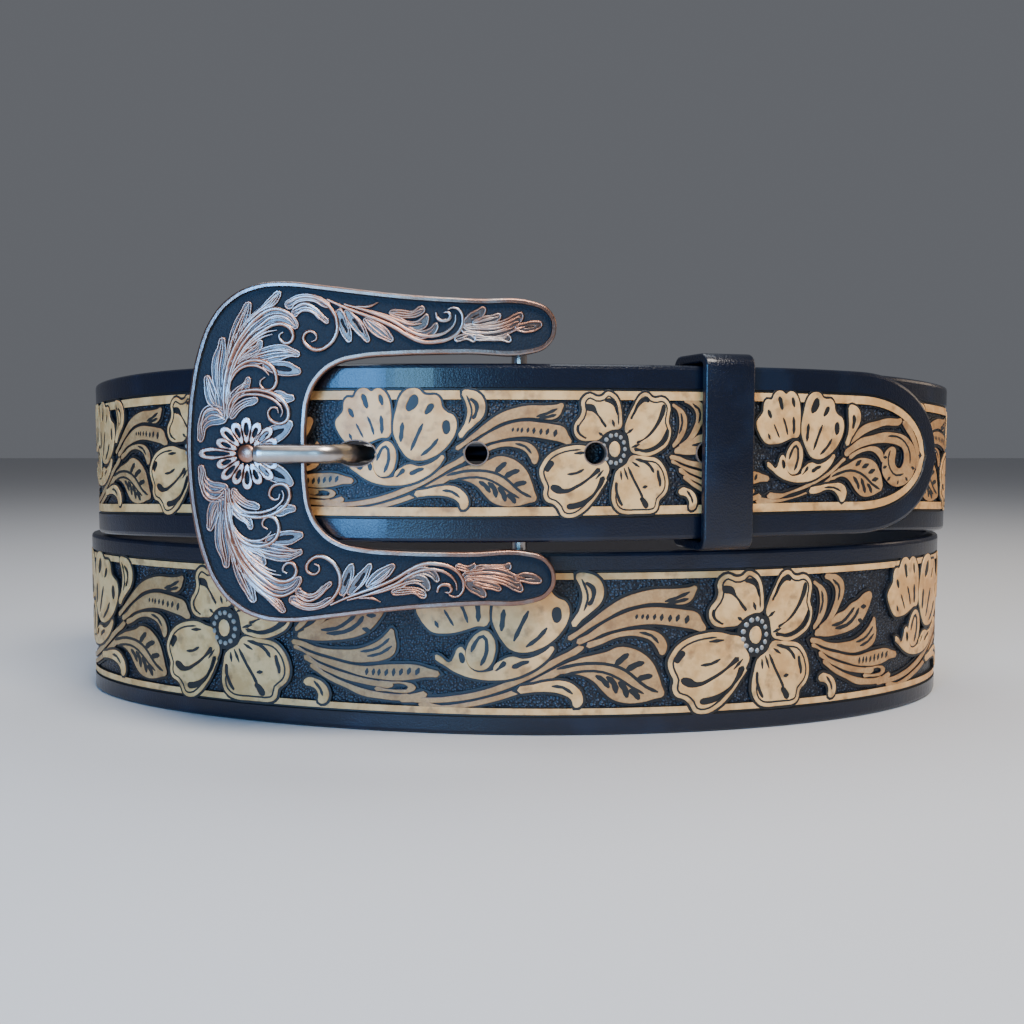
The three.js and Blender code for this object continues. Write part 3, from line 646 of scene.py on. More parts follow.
# Each hole's distance along the strap, its length and its height: the punched ones, the prong's, the slot
# for the prong's ring, and a pair for each post.
punched = [(prong_hole + i * HOLE["pitch"], HOLE["diameter"], HOLE["diameter"]) for i in HOLES_FROM_PRONG]
punched.append((prong_hole, HOLE["prong_long"], HOLE["prong_tall"]))
inner_holes = [(STRAP["fold_length"] + math.pi * WRAP / 2, SLOT["long"], SLOT["tall"])]
inner_holes += [(wrap_end + along, POST_HOLE, POST_HOLE) for along in POSTS_FROM_BAR]
inner_holes += [(STRAP["fold_length"] - along, POST_HOLE, POST_HOLE) for along in POSTS_FROM_BAR]
cut_away(strap, [hole_cutter(*hole) for hole in punched + inner_holes])
coil_mesh(strap, -0.1, 0.35)
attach(strap, "root")
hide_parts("strap")
print("strap", len(strap.data.vertices), "vertices")

# %% [markdown]
# ## The floral tooling
#
# The maker repeats one drawing along the belt: a bud and an open flower, joined by stems, with leaves
# that hook back over the line bands. The drawing is charted once, in squares of 0.211 mm, with x running
# along the strap from the bud's middle and y up from the strap's middle. Each shape has its outline, the
# hollows cut through it and the veins drawn with a knife. It is pushed up from the ground, so each is a
# filled outline with a rounded edge.

# %% The chart: name, layer, outline, hollows, veins
TILE_CHART = [
    ("bud left petal", 2,
     [(4, 17), (6, 30), (6, 45), (3, 57), (-3, 64), (-9, 65), (-15, 62), (-20, 65), (-27, 65), (-32, 61),
     (-35, 56), (-42, 56), (-46, 51), (-47, 43), (-51, 38), (-55, 34), (-56, 29), (-53, 22), (-48, 15),
     (-42, 10), (-33, 9), (-23, 10), (-13, 13), (-4, 16)],
     [[(-26, 59), (-22, 59), (-19, 53), (-19, 45), (-22, 46), (-25, 52)], [(-6, 59), (-3, 58), (-1, 53),
     (-2, 48), (-5, 50), (-7, 55)], [(-41, 45), (-38, 45), (-35, 41), (-35, 36), (-38, 37), (-41, 41)]],
     [(1.3, [(-32, 30), (-28, 23), (-24, 16)]), (1.6, [(-19, 37), (-15, 29), (-12, 19)]), (2.4, [(-4, 38),
     (-3, 29), (-3, 20)]), (1.6, [(-40, 20), (-37, 14)])]),
    ("bud right petal", 2,
     [(13, 10), (9, 20), (9, 32), (12, 45), (15, 55), (20, 62), (27, 65), (34, 64), (39, 59), (45, 58),
     (51, 58), (55, 54), (57, 46), (62, 41), (68, 38), (71, 31), (70, 22), (65, 12), (57, 3), (46, -4),
     (33, -7), (23, -4), (17, 3)],
     [[(27, 58), (31, 59), (34, 54), (32, 47), (27, 43), (23, 42), (21, 45), (23, 52)], [(45, 50), (49, 49),
     (48, 44), (44, 40), (40, 39), (41, 45)], [(59, 33), (63, 33), (65, 28), (64, 21), (60, 19), (57, 24),
     (57, 30)]],
     [(2.4, [(18, 31), (17, 22), (16, 12)]), (2, [(38, 30), (32, 17), (26, 3)]), (2, [(53, 15), (46, 6),
     (36, -2)])]),
    ("bud arch", 2,
     [(-9, -21), (-13, -14), (-13, -5), (-9, 4), (-3, 10), (3, 12), (8, 8), (11, -1), (10, -10), (7, -18),
     (1, -23)],
     [],
     [(2, [(-9, -7), (-5, 2), (1, 7), (4, -1), (3, -10), (-1, -19)])]),
    ("bud calyx", 2,
     [(-40, -11), (-35, -12), (-28, -17), (-23, -10), (-21, -5), (-17, -3), (-13, -16), (-7, -24), (3, -25),
     (11, -22), (17, -14), (25, -11), (33, -13), (43, -11), (52, -6), (58, -2), (56, -9), (49, -17),
     (39, -24), (25, -30), (10, -32), (-5, -31), (-19, -27), (-31, -20)],
     [[(-19, -7), (-15, -9), (-14, -16), (-17, -18), (-20, -13)], [(10, -21), (14, -16), (19, -15),
     (20, -18), (15, -22), (11, -24)], [(24, -20), (29, -16), (36, -14), (39, -15), (33, -19), (26, -22)]],
     []),
    ("stem bud", 1,
     [(-70, -47), (-55, -49), (-40, -49), (-25, -47), (-5, -43), (15, -36), (35, -26), (55, -15), (70, -7),
     (83, -2), (81, -6), (67, -14), (51, -24), (33, -34), (15, -42), (-3, -48), (-23, -52), (-43, -54),
     (-60, -54), (-73, -52)],
     [],
     []),
    ("stem double", 1,
     [(-55, -55), (-35, -56), (-15, -53), (5, -48), (25, -41), (45, -30), (63, -20), (77, -14), (87, -13),
     (77, -19), (63, -27), (47, -37), (28, -45), (8, -52), (-13, -57), (-35, -59), (-53, -58)],
     [],
     []),
    ("hooked leaf top", 2,
     [(74, 16), (79, 29), (82, 42), (80, 52), (77, 62), (85, 63), (93, 60), (98, 53), (99, 44), (96, 36),
     (89, 29), (81, 22)],
     [[(84, 55), (89, 54), (93, 49), (92, 41), (88, 34), (86, 35), (89, 42), (88, 49)]],
     [(1.2, [(81, 58), (85, 48), (86, 40), (83, 30)])]),
    ("long leaf", 1,
     [(70, 4), (78, 12), (90, 22), (102, 32), (114, 40), (127, 45), (142, 48), (157, 48), (170, 49),
     (177, 50), (176, 44), (172, 37), (165, 34), (155, 35), (141, 36), (127, 34), (114, 30), (102, 23),
     (89, 15), (79, 8)],
     [],
     [(1.8, [(150, 37), (160, 40), (171, 45)]), (1.8, [(152, 35), (162, 37), (170, 39)])]),
    ("ticked leaf", 1,
     [(77, 1), (87, 9), (99, 18), (112, 25), (125, 30), (139, 32), (153, 31), (167, 29), (178, 26),
     (182, 19), (185, 10), (173, 12), (157, 15), (141, 17), (125, 16), (111, 13), (98, 9), (87, 3)],
     [],
     [(1.4, [(127, 26), (126, 22)]), (1.5, [(132, 26), (131, 22)]), (1.5, [(136, 26), (135, 21)]),
     (1.6, [(142, 26), (141, 21)]), (1.7, [(148, 26), (147, 20)]), (1.8, [(155, 25), (154, 19)]),
     (2, [(162, 25), (160, 19)]), (2.4, [(170, 24), (168, 17)])]),
    ("hooked leaf middle", 1,
     [(85, -2), (97, 5), (110, 10), (123, 12), (135, 12), (145, 9), (151, 2), (152, -6), (148, -11),
     (144, -5), (139, 2), (130, 6), (118, 7), (106, 4), (95, -1)],
     [],
     [(1.5, [(129, 10), (139, 7), (145, 0)])]),
    ("veined leaf", 1,
     [(70, -18), (79, -13), (90, -10), (102, -7), (111, -3), (122, -4), (132, -9), (140, -17), (145, -28),
     (148, -38), (150, -47), (142, -50), (130, -53), (117, -53), (106, -49), (98, -41), (91, -33),
     (82, -28), (72, -26), (59, -24)],
     [],
     [(1.8, [(61, -22), (77, -18), (93, -17), (107, -19), (118, -24), (127, -32), (135, -39), (145, -44)]),
     (1.5, [(67, -27), (83, -24), (99, -25), (112, -31), (123, -39), (133, -45)]), (3.2, [(109, -19),
     (115, -13), (120, -9)]), (3.2, [(118, -24), (126, -19), (133, -17)]), (3.2, [(127, -32), (134, -30),
     (140, -29)]), (2.6, [(93, -28), (99, -32), (104, -39)]), (3, [(102, -29), (108, -35), (110, -44)]),
     (3.2, [(112, -34), (117, -40), (119, -48)]), (3.2, [(121, -41), (126, -45), (129, -50)])]),
    ("hooked leaf low", 2,
     [(29, -41), (42, -36), (55, -33), (68, -33), (77, -38), (82, -46), (81, -54), (76, -56), (73, -49),
     (65, -44), (55, -42), (43, -42)],
     [],
     [(1.6, [(57, -37), (66, -38), (74, -44)])]),
    ("open petal 1", 2,
     [(213, 14), (205, 13), (197, 13), (191, 16), (188, 23), (189, 30), (194, 37), (196, 44), (195, 51),
     (198, 57), (204, 60), (211, 57), (217, 58), (222, 62), (228, 60), (234, 54), (237, 45), (238, 35),
     (237, 26), (227, 24), (219, 20)],
     [[(199, 49), (204, 50), (209, 48), (212, 41), (218, 33), (221, 26), (217, 29), (212, 37), (206, 42),
     (201, 43)], [(219, 53), (224, 56), (229, 53), (232, 46), (234, 38), (231, 41), (228, 48), (223, 51)],
     [(192, 29), (193, 23), (197, 18), (201, 15), (195, 17), (191, 21), (190, 26)]],
     [(1.5, [(227, 34), (229, 27)]), (1.8, [(213, 21), (217, 18)])]),
    ("open petal 2", 2,
     [(242, 24), (244, 32), (248, 40), (253, 48), (258, 56), (264, 61), (270, 61), (275, 57), (281, 56),
     (287, 57), (294, 54), (298, 47), (297, 39), (296, 32), (299, 24), (298, 16), (294, 8), (287, 3),
     (278, -1), (268, -3), (258, -1), (250, 2), (248, 9), (246, 18)],
     [[(258, 53), (264, 57), (270, 57), (272, 52), (266, 52), (260, 48), (254, 41), (249, 34), (252, 42)],
     [(289, 50), (292, 49), (292, 42), (288, 34), (282, 26), (274, 18), (265, 13), (256, 10), (265, 15),
     (275, 24), (282, 34), (286, 44)], [(295, 25), (297, 19), (294, 12), (287, 7), (276, 2), (264, 2),
     (253, 4), (265, 4), (277, 7), (286, 13), (291, 20)]],
     [(1.5, [(244, 20), (252, 25)]), (1.5, [(250, 6), (260, 9)])]),
    ("open petal 3", 2,
     [(217, 2), (207, 5), (195, 8), (183, 7), (172, 4), (162, -2), (156, -10), (153, -18), (155, -27),
     (158, -34), (157, -41), (160, -48), (167, -51), (172, -56), (176, -63), (185, -65), (195, -61),
     (205, -52), (215, -38), (221, -25), (224, -16), (220, -7)],
     [[(161, -10), (165, -7), (168, -10), (165, -15), (161, -19), (158, -16)], [(164, -33), (172, -32),
     (178, -36), (190, -32), (203, -24), (215, -15), (205, -26), (192, -35), (178, -41), (167, -39)],
     [(181, -52), (189, -50), (198, -47), (209, -39), (219, -23), (212, -40), (200, -52), (187, -57),
     (181, -56)]],
     [(1.6, [(181, -21), (190, -20), (198, -16)]), (1.6, [(188, 0), (201, 1)]), (1.3, [(210, -26),
     (218, -17)])]),
    ("open petal 4", 2,
     [(232, -19), (229, -29), (227, -41), (228, -51), (234, -59), (243, -62), (255, -62), (267, -62),
     (278, -61), (283, -57), (285, -49), (292, -43), (296, -35), (295, -23), (290, -13), (282, -6),
     (272, -4), (260, -3), (250, -3), (244, -11)],
     [[(232, -29), (234, -39), (238, -48), (240, -54), (236, -52), (232, -44), (230, -36)], [(264, -45),
     (269, -48), (272, -55), (268, -57), (263, -51), (261, -46)], [(283, -17), (286, -23), (288, -31),
     (286, -35), (284, -30), (282, -24)]],
     [(1.4, [(237, -18), (238, -27)]), (1.4, [(241, -15), (246, -27)]), (1.4, [(251, -9), (260, -14)]),
     (2, [(264, -35), (270, -34)]), (2, [(255, -6), (267, -9), (274, -14), (278, -20)]), (1.8, [(246, -14),
     (253, -27), (260, -38), (265, -47)])]),
    ("fan curved leaf 1", 1,
     [(302, 6), (307, 15), (310, 25), (310, 36), (307, 44), (301, 50), (308, 48), (316, 43), (320, 35),
     (319, 24), (314, 15), (307, 8)],
     [],
     [(1.6, [(312, 41), (314, 31), (310, 20)])]),
    ("fan curled leaf", 1,
     [(310, 5), (320, 14), (328, 25), (332, 36), (330, 44), (323, 50), (316, 54), (327, 56), (337, 53),
     (343, 47), (343, 36), (338, 27), (331, 17), (321, 9)],
     [],
     [(1.6, [(333, 48), (337, 41), (335, 31)]), (1.4, [(327, 51), (335, 45)])]),
    ("fan serrated leaf", 1,
     [(304, 1), (313, 8), (324, 12), (334, 18), (345, 21), (355, 27), (365, 30), (376, 36), (386, 35),
     (384, 26), (379, 18), (373, 11), (364, 5), (351, 1), (337, -1), (323, -2), (311, -1)],
     [],
     [(2, [(327, 8), (341, 10), (352, 17), (359, 23)]), (2.2, [(332, 5), (348, 7), (361, 15), (366, 22)]),
     (2.4, [(365, 11), (372, 9)]), (2.4, [(369, 23), (377, 23)])]),
    ("fan hooked blade", 1,
     [(298, -4), (308, -3), (320, -7), (333, -9), (346, -9), (359, -8), (371, -4), (381, 2), (388, 9),
     (391, 12), (394, 4), (395, -5), (392, -12), (383, -17), (372, -19), (359, -20), (346, -18), (333, -15),
     (320, -12), (308, -8)],
     [],
     [(1.5, [(363, -10), (374, -8), (383, -3), (389, 3)]), (1.5, [(369, -14), (381, -11), (391, -4)])]),
    ("fan ticked blade", 1,
     [(300, -8), (312, -12), (325, -16), (339, -19), (353, -22), (368, -23), (383, -21), (398, -20),
     (412, -20), (423, -23), (433, -28), (420, -31), (406, -34), (391, -35), (377, -34), (363, -32),
     (349, -28), (335, -24), (321, -19), (309, -13)],
     [],
     [(1.6, [(369, -25), (368, -31)]), (1.6, [(375, -25), (374, -31)]), (1.6, [(380, -25), (379, -31)]),
     (1.7, [(387, -25), (385, -31)]), (1.7, [(393, -24), (392, -31)]), (1.8, [(400, -24), (398, -30)]),
     (2, [(407, -23), (405, -29)]), (2.2, [(415, -23), (412, -29)])]),
    ("fan thin blade", 1,
     [(310, -16), (323, -22), (337, -27), (352, -31), (366, -34), (380, -36), (392, -38), (391, -41),
     (378, -41), (364, -39), (349, -36), (335, -31), (321, -25)],
     [],
     []),
    ("fan loop", 1,
     [(378, -38), (390, -36), (402, -36), (410, -38), (412, -41), (407, -45), (397, -46), (386, -45),
     (375, -43), (387, -43), (398, -43), (405, -41), (401, -38), (391, -38)],
     [],
     []),
    ("fan low blade", 1,
     [(316, -24), (329, -30), (342, -36), (356, -41), (372, -45), (389, -47), (406, -47), (422, -46),
     (411, -51), (396, -53), (380, -52), (364, -50), (350, -44), (335, -38), (323, -31)],
     [],
     []),
    ("hooked leaf foot", 2,
     [(310, -41), (315, -36), (321, -37), (328, -40), (333, -47), (333, -54), (329, -59), (324, -58),
     (324, -51), (320, -45)],
     [],
     [(1.5, [(320, -39), (326, -46), (328, -52)])]),
]

TIP_CHART = [
    ("tip hooked leaf", 2,
     [(73, 52), (80, 52), (86, 48), (89, 40), (87, 32), (82, 24), (76, 16), (70, 8), (72, 20), (73, 30),
     (72, 42)],
     [[(78, 42), (82, 40), (82, 32), (78, 26), (77, 34)]],
     []),
    ("tip long leaf", 1,
     [(67, 6), (75, 16), (85, 24), (98, 32), (115, 36), (134, 40), (149, 40), (157, 40), (154, 34),
     (144, 32), (131, 32), (115, 28), (98, 22), (84, 14), (73, 8)],
     [],
     []),
    ("tip edge leaf", 1,
     [(159, 38), (168, 36), (178, 28), (187, 16), (193, 4), (194, -8), (190, -18), (187, -4), (183, 8),
     (174, 20), (165, 28)],
     [],
     []),
    ("tip scroll", 1,
     [(68, 0), (78, 8), (91, 16), (109, 20), (128, 24), (145, 24), (161, 22), (174, 16), (184, 6),
     (187, -8), (184, -20), (175, -30), (162, -36), (146, -36), (135, -30), (128, -22), (127, -10),
     (129, -2), (136, 6), (145, 8), (149, 4), (148, -4), (149, -12), (157, -16), (162, -12), (164, -2),
     (161, 6), (152, 10), (138, 12), (122, 12), (107, 10), (91, 6), (78, 0), (71, -4)],
     [],
     [(1.4, [(139, 4), (136, -6), (141, -18), (151, -24), (164, -22)]), (1.4, [(134, 20), (149, 20),
     (164, 14), (174, 2), (175, -10)]), (2, [(128, -4), (134, -4)]), (2, [(128, -16), (134, -14)]),
     (2, [(136, -30), (141, -26)]), (2, [(154, -34), (155, -30)]), (2, [(172, -30), (168, -26)]),
     (2, [(184, -16), (178, -14)])]),
    ("tip thin leaf", 1,
     [(75, -6), (85, 2), (98, 6), (112, 8), (124, 4), (129, -4), (128, -10), (121, -4), (111, 2), (98, 2),
     (86, -2)],
     [],
     []),
    ("tip veined leaf", 1,
     [(48, -28), (61, -18), (75, -12), (89, -6), (104, -6), (115, -10), (122, -18), (127, -28), (128, -40),
     (121, -44), (109, -48), (97, -48), (87, -42), (80, -34), (73, -28), (63, -26), (51, -30)],
     [],
     [(1.8, [(51, -26), (70, -20), (85, -20), (100, -26), (111, -34), (124, -40)]), (2.6, [(85, -14),
     (93, -8)]), (2.6, [(95, -16), (105, -12)]), (2.6, [(105, -22), (115, -18)]), (2.6, [(111, -30),
     (121, -28)]), (2.4, [(82, -26), (89, -34), (91, -40)]), (2.6, [(94, -28), (98, -36), (101, -44)]),
     (2.6, [(104, -34), (108, -38), (111, -44)])]),
    ("tip low leaf", 2,
     [(20, -42), (35, -36), (51, -34), (64, -34), (71, -40), (71, -48), (66, -54), (61, -48), (55, -42),
     (44, -40), (30, -44)],
     [],
     [(1.4, [(40, -38), (53, -38), (63, -42)])]),
    ("tip stem", 1,
     [(-34, -46), (-14, -44), (7, -38), (27, -30), (45, -22), (59, -12), (70, -6), (64, -12), (52, -22),
     (37, -30), (18, -38), (-4, -44), (-26, -50)],
     [],
     []),
    ("tip second stem", 1,
     [(-48, -52), (-23, -50), (-1, -48), (18, -42), (37, -34), (53, -24), (64, -18), (53, -28), (38, -36),
     (19, -44), (-3, -50), (-27, -54)],
     [],
     []),
]


# %% Raise the shapes from the flat chart
SQUARE = 0.211
PERIOD = 469 * SQUARE
FLOWER_AT = 230 * SQUARE
TOPS = {1: -0.12, 2: 0.16}
SLICE = 3.0
TAN_FACE, DARK_FACE, BEAD_FACE, RIM_FACE = range(4)


def turned(loop, clockwise):
    """The loop, reversed if it runs the other way round."""
    area = sum(a[0] * b[1] - b[0] * a[1] for a, b in zip(loop, loop[1:] + loop[:1]))
    return loop[::-1] if (area < 0) != clockwise else loop


def add_spline(curve, points, closed):
    """A soft line through the points, in whatever unit the curve is drawn in."""
    spline = curve.splines.new("BEZIER")
    spline.bezier_points.add(len(points) - 1)
    spline.use_cyclic_u = closed
    for knot, point in zip(spline.bezier_points, points):
        knot.co = point
        knot.handle_left_type = "AUTO"
        knot.handle_right_type = "AUTO"
    return spline


def mesh_of_curve(curve):
    """Turns a curve into a mesh and drops the curve."""
    holder = bpy.data.objects.new("curve", curve)
    bpy.context.collection.objects.link(holder)
    data = bpy.data.meshes.new_from_object(holder.evaluated_get(bpy.context.evaluated_depsgraph_get()))
    bpy.data.objects.remove(holder)
    bpy.data.curves.remove(curve)
    return data


def raised(loops, low, high, edge, grow=0.0, resolution=3):
    """A filled outline between two heights as a mesh, with its hollows left open and its top edge rounded."""
    curve = bpy.data.curves.new("outline", "CURVE")
    curve.dimensions = "2D"
    curve.fill_mode = "BOTH"
    curve.resolution_u = resolution
    curve.bevel_depth = edge
    curve.bevel_resolution = 1
    curve.extrude = (high - low) / 2 - edge
    curve.offset = grow - edge
    for i, loop in enumerate(loops):
        add_spline(curve, [(x * SQUARE, y * SQUARE, 0) for x, y in turned(loop, i > 0)], True)
    data = mesh_of_curve(curve)
    data.transform(Matrix.Translation((0, 0, (low + high) / 2)))
    return data

# %% Build a drawing from its chart
def vein_outline(width, line):
    """A knife cut: a line that swells to its width in the middle and tapers at both ends."""
    points = [Vector(point) for point in line]
    left, right = [], []
    for i, point in enumerate(points):
        along = (points[min(i + 1, len(points) - 1)] - points[max(i - 1, 0)]).normalized()
        reach = width / 2 * (0.45 if i in (0, len(points) - 1) else 1)
        side = Vector((-along.y, along.x)) * reach
        left.append(tuple(point + side))
        right.append(tuple(point - side))
    return left + right[::-1]


def add_part(mesh, data, finish=0):
    """Adds a mesh to a growing one under a finish number, without its hidden underside."""
    part = bmesh.new()
    part.from_mesh(data)
    for face in part.faces:
        face.material_index = finish
    part.normal_update()
    under = [face for face in part.faces if face.normal.z < -0.9]
    bmesh.ops.delete(part, geom=under, context="FACES")
    part.to_mesh(data)
    part.free()
    mesh.from_mesh(data)
    bpy.data.meshes.remove(data)


def rim_line(outline, inset):
    """The cut a little inside a petal's edge, from one side of its root to the other."""
    outline = turned(outline, True)
    line = []
    for i in range(2, len(outline) - 2):
        along = (Vector(outline[i + 1]) - Vector(outline[i - 1])).normalized()
        line.append(tuple(Vector(outline[i]) + Vector((along.y, -along.x)) * inset))
    return line


def add_chart(mesh, chart):
    for name, layer, outline, hollows, veins in chart:
        top = TOPS[layer]
        add_part(mesh, raised([outline, *hollows], GROUND, top, 0.16, 0.04), TAN_FACE)
        # The dark bevel round each shape. On the upper layer it also parts the shape from what it crosses.
        shoulder = top - 0.2 if layer == 2 else GROUND + 0.35
        add_part(mesh, raised([outline], GROUND, shoulder, 0.1, 0.6, 2), DARK_FACE)
        cuts = [(width * 1.6, line) for width, line in veins]
        if name.startswith("open petal"):
            cuts.append((1.7, rim_line(outline, 4.2)))
        for width, line in cuts:
            cut = raised([vein_outline(width, line)], top - 0.1, top + 0.04, 0.02, 0, 2)
            add_part(mesh, cut, DARK_FACE)


def add_flower_middle(mesh):
    """The open flower's middle: a domed seed, a ring of small beads and a dark dish under them."""
    dish = Matrix.Translation((FLOWER_AT, 0.9, -0.25)) @ Matrix.Diagonal((1, 1.15, 1, 1))
    size = {"segments": 28, "radius1": 3.9, "radius2": 3.7, "depth": 0.5}
    made = bmesh.ops.create_cone(mesh, cap_ends=True, matrix=dish, **size)
    seed = Matrix.Translation((FLOWER_AT, 0.9, 0)) @ Matrix.Diagonal((1.35, 1.75, 0.45, 1))
    domes = [(seed, TAN_FACE, 12)]
    for i in range(13):
        turn = 2 * math.pi * i / 13
        spot = Matrix.Translation((FLOWER_AT + 2.55 * math.cos(turn), 0.9 + 3.05 * math.sin(turn), 0.02))
        # The beads' pale grey finish is a painted highlight.
        domes.append((spot @ Matrix.Diagonal((0.52, 0.52, 0.38, 1)), BEAD_FACE, 8))
    parts = [(made, DARK_FACE)]
    for matrix, finish, segments in domes:
        rings = segments // 2 + 1
        made = bmesh.ops.create_uvsphere(mesh, u_segments=segments, v_segments=rings, radius=1, matrix=matrix)
        parts.append((made, finish))
    for made, finish in parts:
        for face in {face for vertex in made["verts"] for face in vertex.link_faces}:
            face.material_index = finish


def slice_along(mesh, start, end):
    """Cuts across the mesh every few millimetres, so that it can bend round the coil."""
    for x in np.arange(start, end, SLICE):
        geometry = [*mesh.verts, *mesh.edges, *mesh.faces]
        bmesh.ops.bisect_plane(mesh, geom=geometry, dist=1e-4, plane_co=(x, 0, 0), plane_no=(1, 0, 0))


def chart_mesh(name, chart, middle_too):
    mesh = bmesh.new()
    add_chart(mesh, chart)
    if middle_too:
        add_flower_middle(mesh)
    reach = [vertex.co.x for vertex in mesh.verts]
    slice_along(mesh, min(reach) + 1, max(reach))
    data = bpy.data.meshes.new(name)
    mesh.to_mesh(data)
    mesh.free()
    return data


BUD = [shape for shape in TILE_CHART if shape[0].startswith("bud")]
tile = chart_mesh("tile", TILE_CHART, True)
bud = chart_mesh("bud", BUD, False)
tip_drawing = chart_mesh("tip drawing", TIP_CHART, False)
print("one repeat has", len(tile.polygons), "faces")

# %% [markdown]
# ## Where the repeats fall
#
# The drawing is larger on the wide body than on the narrow ends, as on a tapered belt. The buds and
# flowers are pinned where they stand on the real belt, and everything between two pins is eased to fit.

# %% Lay the repeats along the strap
# Distances along the strap of every bud, and of the open flower that follows it.
PINS = [
    (74, 120), (166, 215), (264, 318), (372, 430), (488, 540.8), (604.4, 667.5), (718, 775), (828, 879),
    (930, 978), (1025, 1070), (1115.3, 1164.1), (1207.7, 1252),
]
LAST_BUD = PINS[-1][0]
pattern_places = [place for i in range(len(PINS)) for place in (PERIOD * i, PERIOD * i + FLOWER_AT)]
strap_places = [s for pair in PINS for s in pair]


def field_scale(s):
    """How much wider the field between the borders is than at the strap's ends."""
    field = full_width(s) / 2 - mix(BORDER["end"], BORDER["body"], widened(s))
    return field / (STRAP["end"] / 2 - BORDER["end"])


def laid(data, number):
    """The flat places of a drawing's vertices, for the bud with this number or, without one, the last."""
    spots = places_of(data)
    if number is None:
        return spots + (LAST_BUD, 0, 0)
    s = np.interp(spots[:, 0] + PERIOD * number, pattern_places, strap_places)
    return np.column_stack([s, spots[:, 1] * field_scale(s), spots[:, 2]])

# %% Punch the drawings and coil them
def clear_hole(mesh, s, long, tall):
    """Cuts a punched hole through the drawing and lines it with the pressed rim that the punch leaves."""
    sides = 20
    centre = Vector((s, 0))
    near = [face for face in mesh.faces if (face.calc_center_median().xy - centre).length < 9]
    for i in range(sides):
        turn = 2 * math.pi * (i + 0.5) / sides
        geometry = {*near}
        for face in near:
            geometry.update(face.edges, face.verts)
        place = (s + long / 2 * math.cos(turn), tall / 2 * math.sin(turn), 0)
        facing = (math.cos(turn) / long, math.sin(turn) / tall, 0)
        cut = bmesh.ops.bisect_plane(mesh, geom=list(geometry), dist=1e-4, plane_co=place, plane_no=facing)
        near = [item for item in cut["geom"] if isinstance(item, bmesh.types.BMFace)]
    inside = []
    for face in near:
        spot = face.calc_center_median()
        if ((spot.x - s) / (long / 2)) ** 2 + (spot.y / (tall / 2)) ** 2 < 0.97:
            inside.append(face)
    bmesh.ops.delete(mesh, geom=inside, context="FACES")
    rings = []
    for reach in (0.28, -0.04):
        wide, high = (long / 2 + reach) / SQUARE, (tall / 2 + reach) / SQUARE
        turns = [2 * math.pi * i / sides for i in range(sides)]
        rings.append([(wide * math.cos(turn), high * math.sin(turn)) for turn in turns])
    rim = raised(rings, -1.6, 0.2, 0.1, resolution=1)
    rim.transform(Matrix.Translation((s, 0, 0)))
    add_part(mesh, rim, RIM_FACE)


def triangles_of(piece):
    return sum(len(face.vertices) - 2 for face in piece.data.polygons)


def tooling(name, drawings, punched=()):
    """One piece of tooling from several drawings, each with the number of its bud."""
    mesh = bmesh.new()
    for data, number in drawings:
        copy = data.copy()
        copy.vertices.foreach_set("co", laid(data, number).astype(np.float32).ravel())
        mesh.from_mesh(copy)
        bpy.data.meshes.remove(copy)
    for hole in punched:
        clear_hole(mesh, *hole)
    piece = mesh_object(name, mesh, [leather_tan, leather_dark, bead_highlight_finish, leather_rim])
    coil_mesh(piece, 0.0, 0.7)
    for face in piece.data.polygons:
        face.use_smooth = False
    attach(piece, "root")
    print(name, triangles_of(piece), "triangles")


tooling("tooling_outer_pass", [(tile, 1), (tile, 2), (tile, 3)])
tooling("tooling_lower_turn", [(tile, 4), (tile, 5)])
tooling("tooling_inner_pass", [(tile, 6), (tile, 7), (tile, 8)])
tooling("tooling_upper_front", [(tile, 9), (tile, 10), (bud, 11), (tip_drawing, None)], punched)

# %% [markdown]
# ## The buckle
#
# A founder carves the scrollwork in wax, presses a mould from it and casts the frame in one piece. The
# cast is then blackened and the high parts are rubbed bright. It is drawn flat here, in squares of the
# opening's height divided by 196, with x to the right of the bar and y up. The lower half mirrors the
# upper one. Broad leaves are raised outlines, and the ridges on them are rounded strands that thin out
# at both ends.

# %% The buckle's charts
FRAME_CHART = [
    (-220, 0), (-219, 35), (-215, 58), (-205, 76), (-188, 89), (-165, 95), (-130, 98), (-60, 100), (8, 101),
    (25, 109), (33, 127), (27, 144), (10, 153), (-50, 155), (-110, 158), (-160, 163), (-200, 168),
    (-240, 172), (-270, 169), (-295, 157), (-315, 135), (-328, 105), (-337, 65), (-341, 30), (-342, 0),
]

